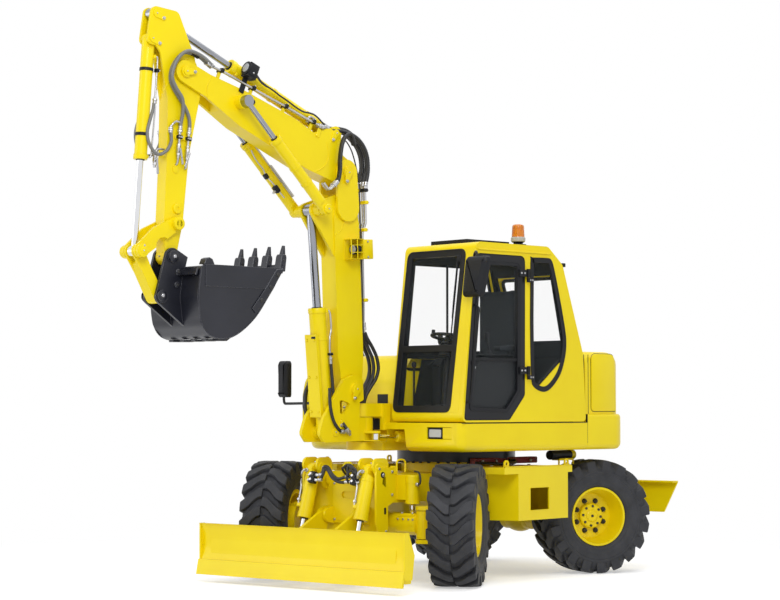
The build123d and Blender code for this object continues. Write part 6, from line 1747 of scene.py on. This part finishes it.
def lower_round(radius, low):
    """(inset, height) pairs for a rounded lower edge."""
    return [(radius * (1 - math.sin(a)), low + radius * (1 - math.cos(a)))
            for a in (math.pi / 2 * k / 6 for k in range(7))]


def deck_shell():
    """The deck with its rounded right corner and rounded lower edges."""
    tool = Piece("deck_tool", "upper", YELLOW)
    plan = [(-598, 1130), (-598, -1130)] + corner_arc(650, -720, 410, -math.pi / 2)
    plan += corner_arc(990, 1060, 70, 0, 6)
    rings = []
    for by, z in lower_round(60, 1174) + [(0, 1431)]:
        loop = inset(plan, by) if by > 0.01 else plan
        rings.append([(-598.0 if i < 2 else p[0], p[1], z) for i, p in enumerate(loop)])
    tool.take(*stacked(rings), DECK)
    tool.box((900, 1420), (-260, 200), (1060, 1640), DECK)
    tool.prism([(520 * math.cos(math.pi * k / 24), 520 * math.sin(math.pi * k / 24)) for k in range(48)],
               1000, 1300, DECK, "z")
    carved("deck", "deck_shell", tool, "INTERSECT", YELLOW)


def tail_shell(node, radius, half, low, high, turn_low, turn_high, corner):
    """A tail casting with its corners and its upper and lower edges rounded as the photograph shows."""
    angle = math.asin(half / radius)
    start = (-math.sqrt(radius * radius - half * half), half)
    after = angle - corner / radius
    ends = [(start[0] + corner, half), start, (-radius * math.cos(after), radius * math.sin(after))]
    bend = [tuple((1 - t) ** 2 * a + 2 * t * (1 - t) * b + t * t * c for a, b, c in zip(*ends))
            for t in (k / 6 for k in range(7))]
    arc = [(-radius * math.cos(after * (1 - k / 12)),
            radius * math.sin(after * (1 - k / 12))) for k in range(1, 13)]
    upper = [(-400, half)] + bend + arc
    plan = upper + [(x, -y) for x, y in reversed(upper[:-1])]
    rows = lower_round(turn_low, low)
    rows += [(turn_high * (1 - math.cos(a)), high - turn_high * (1 - math.sin(a)))
             for a in (math.pi / 2 * k / 6 for k in range(7))]
    rings = [[(p[0], p[1], z) for p in (inset(plan, by) if by > 0.01 else plan)] for by, z in rows]
    tool = Piece(node + "_tool", "upper", YELLOW)
    tool.take(*stacked(rings), DECK)
    carved(node, node + "_shell", tool, "INTERSECT", YELLOW)


def upper_fittings():
    piece = Piece("upper_fittings", "upper", YELLOW, STEEL, BLACK_TRIM, HOSE, BLACK_PAINT, LENS, MIRROR)
    at = DECK
    # black plates beside the post that stand for openings, their darkness painted shade, each with a lip
    piece.prism(rounded([(-100, 1364), (98, 1364), (98, 1468), (-100, 1468)], 14), 1080, 1082, at, "x", 2)
    piece.prism(rounded([(-62, 1590), (80, 1590), (80, 1688), (-62, 1688)], 6), 960.5, 962, at, "x", 2)
    frame_strip(piece, rounded([(-70, 1582), (88, 1582), (88, 1696), (-70, 1696)], 10), 8,
                lambda p, t: (960 + t, p[0], p[1]), 0, 3, at, 0, 1)
    # cover beside the lamp, filling the rest of its recess
    piece.box((972, 1056), (884, 998), (1287, 1390), at, 0, 4)
    # a door panel on the hood's left flank, and seams on both flanks
    for side in (1, -1):
        face = 1095 * side
        door = rounded([(-1036, 1532), (-690, 1532), (-690, 2066), (-1010, 2066)], [20, 40, 60, 60])
        if side > 0:
            piece.prism(door, *sorted((face, face + side * 9)), at, "y", 0, 3, 2)
            frame_strip(piece, rounded(inset(door, -7), 2), 5, lambda p, t: (p[0], 1095 + t, p[1]), 0, 1.2,
                        at, 2, 0.5)
        piece.box((-652, -646), sorted((face - side * 2, face + side * 1.2)), (1508, 2060), at, 2)
        piece.box((-592, -586), sorted((side * 1094, side * 1096)), (1508, 2060), at, 2)
    # counterweight's seam
    for side in (1, -1):
        piece.box((-601, -598), sorted((side * 1110, side * 1131)), (1236, 1504), at, 2)
    piece.box((-596, 1058), (1129, 1131.5), (1425, 1430), at, 2)
    # exhaust on the hood, with its rain cap, and the hood's top handle
    stack = at @ shift(-980, -520, 0)
    piece.turned([(46, 2086), (50, 2092), (50, 2130), (44, 2136), (44, 2250), (40, 2262)], stack, "z", 32, 4)
    piece.lathe([(38, 2258), (44, 2262), (44, 2270), (38, 2268)], stack, "z", 32, 1)
    piece.hose([(-800, 300, 2090), (-800, 300, 2120), (-800, 320, 2132), (-800, 480, 2132), (-800, 500, 2120),
                (-800, 500, 2090)], 9, at, 10, 16, 4)
    # grille bars behind the hood's slots
    for k in range(8):
        z = 1687 + 52 * k
        piece.box((-984, -668), (-1084, -1066), (z, z + 4), at, 4, 1)
    # right housing: fuel cap, tread plates, grab rail, panel seams
    cap = at @ shift(620, -700, 2050)
    piece.turned([(62, 0), (62, 12), (54, 26), (50, 40), (40, 44)], cap, "z", 36, 4)
    for k in range(12):
        a = 2 * math.pi * k / 12
        piece.rod((50 * math.cos(a), 50 * math.sin(a), 14), (48 * math.cos(a), 48 * math.sin(a), 38), 5, cap,
                  8, 4)
    for x in (-440, -120, 200):
        mat = rounded([(x, -1000), (x + 260, -1000), (x + 260, -180), (x, -180)], 20)
        piece.prism(mat, 2050, 2053, at, "z", 4, 1)
        for i in range(7):
            for j in range(14):
                spot = at @ shift(x + 26 + 34 * i, -958 + 58 * j, 2053)
                piece.turned([(7, 0), (5, 2)], spot, "z", 6, 4)
    rail = [(900, -1080, 1700), (920, -1084, 1760), (880, -1084, 2060), (800, -1084, 2150),
            (500, -1084, 2190), (200, -1084, 2190), (160, -1084, 2170), (150, -1080, 2052)]
    piece.hose(rail, 15, at, 14, 30, 0)
    for low, high in ((-560, 180), (200, 800)):
        seam = rounded([(low, 1460), (high, 1460), (high, 2000), (low, 2000)], 40)
        frame_strip(piece, seam, 5, lambda p, t: (p[0], -(1118 + t), p[1]), 0, 1.2, at, 2, 0.5)
        piece.box((low + 40, low + 100), (-1126, -1118), (1700, 1730), at, 4, 3)
    # black strips up the right side that stand for step openings: painted shade
    for z in (1260, 1350):
        piece.box((380, 700), (-1131.5, -1129), (z, z + 50), at, 4, 1)
    piece.done(32)


def deck_lamp():
    piece = Piece("deck_lamp", "upper", BLACK_TRIM, LENS, MIRROR, STEEL)
    local = DECK @ shift(1000, 790, 1337)
    shell = rounded([(-96, -48), (84, -48), (84, 50), (-96, 50)], 20)
    piece.prism(shell, -28, 42, local, "x", 0, 5, 2)
    frame_strip(piece, shell, 15, lambda p, t: (t, p[0], p[1]), 38, 52, local, 0, 4)
    bowl = rounded([(-80, -33), (68, -33), (68, 35), (-80, 35)], 14)
    piece.prism(bowl, 40, 43.5, local, "x", 3, 0)
    for y in (-44, 30):
        piece.turned([(26, 43), (20, 46), (6, 47)], local @ shift(0, y, 0), "x", 24, 3)
    piece.prism(inset(bowl, -1), 47, 50, local, "x", 1, 1)
    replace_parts(piece.done(35), "headlamp")


def mirror_heads():
    piece = Piece("mirror_heads", "upper", BLACK_TRIM, MIRROR, STEEL, BLACK_PAINT)
    # left mirror on the windscreen's pillar: a leaning shell, its glass to the rear
    left = [(-118, -178), (62, -178), (92, -150), (170, 130), (160, 168), (130, 178), (-74, 178), (-104, 150),
            (-142, -120), (-140, -160)]
    mid = DECK @ shift(984, 1222, 2718)
    mirror_shell(piece, rounded(left, 24), mid)
    piece.hose([(900, 1134, 2890), (918, 1150, 2920), (940, 1190, 2940), (958, 1218, 2924), (960, 1224, 2880),
                (960, 1226, 2800)], 12, DECK, 12, 12, 3)
    piece.box((862, 914), (1128, 1150), (2800, 2900), DECK, 0, 6)
    for z in (2822, 2878):
        piece.turned([(9, 1150), (9, 1157)], DECK @ shift(888, 0, z), "y", 6, 2)
    piece.hose([(888, 1150, 2830), (920, 1180, 2812), (955, 1216, 2790)], 9, DECK, 10, 12, 3)
    # right mirror on its stalk
    right = [(-66, -172), (66, -172), (72, -140), (72, 150), (56, 176), (-58, 176), (-72, 150), (-72, -140)]
    mid = DECK @ shift(1104, -1222, 1834)
    mirror_shell(piece, rounded(right, 22), mid)
    stalk = [(962, -810, 1612), (1040, -812, 1610), (1086, -824, 1608), (1092, -860, 1606),
             (1092, -1000, 1604), (1092, -1180, 1602), (1092, -1228, 1606), (1092, -1240, 1640),
             (1092, -1240, 1700)]
    piece.hose(stalk, 13, DECK, 14, 16, 3)
    piece.box((958, 974), (-860, -770), (1572, 1652), DECK, 0, 8)
    for y in (-840, -790):
        for z in (1588, 1636):
            piece.turned([(8, 974), (8, 981)], DECK @ shift(0, y, z), "x", 6, 2)
    piece.turned([(22, 1668), (24, 1676), (24, 1700), (20, 1708)], DECK @ shift(1092, -1240, 0), "z", 20, 0)
    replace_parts(piece.done(35), "mirrors")


def beacon_lamp():
    piece = Piece("beacon_lamp", "upper", BLACK_TRIM, DIAL, AMBER, STEEL)
    at = DECK @ shift(180, 985, 3041)
    piece.turned([(70, 0), (76, 4), (74, 14), (46, 18), (40, 26), (58, 34), (62, 40)], at, "z", 40, 0)
    piece.turned([(61, 38), (65, 44), (65, 74), (61, 80)], at, "z", 40, 1)
    for k in range(20):
        piece.box((62, 67), (-2, 2), (46, 72), at @ Matrix.Rotation(math.pi * k / 10, 4, "Z"), 1, 0.6)
    rings = [(60, 78)]
    for k in range(9):
        z = 82 + 11 * k
        rings += [(60 - k * 0.5, z), (58 - k * 0.5, z + 5.5)]
    rings += [(54, 182), (46, 192), (28, 198), (3, 199)]
    piece.turned(rings, at, "z", 40, 2)
    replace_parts(piece.done(30), "beacon")


def mirror_shell(piece, loop, at):
    """A mirror's moulded shell: a rim round its glass to the rear, and a crowned back to the front."""
    rings = [[(t, p[0], p[1]) for p in (inset(loop, by) if by else loop)]
             for by, t in ((0, -30), (0, 4), (6, 16), (20, 30), (44, 42))]
    piece.take(*stacked(rings), at, 0)
    piece.prism(inset(loop, 9), -33, -30, at, "x", 1)


deck_shell()
tail_shell("counterweight", 1560.5, 1130.5, 1173.5, 1505.5, 60, 34, 90)
tail_shell("engine_hood", 1520.5, 1095.5, 1400, 2090.5, 2, 120, 80)
upper_fittings()
deck_lamp()
mirror_heads()
beacon_lamp()
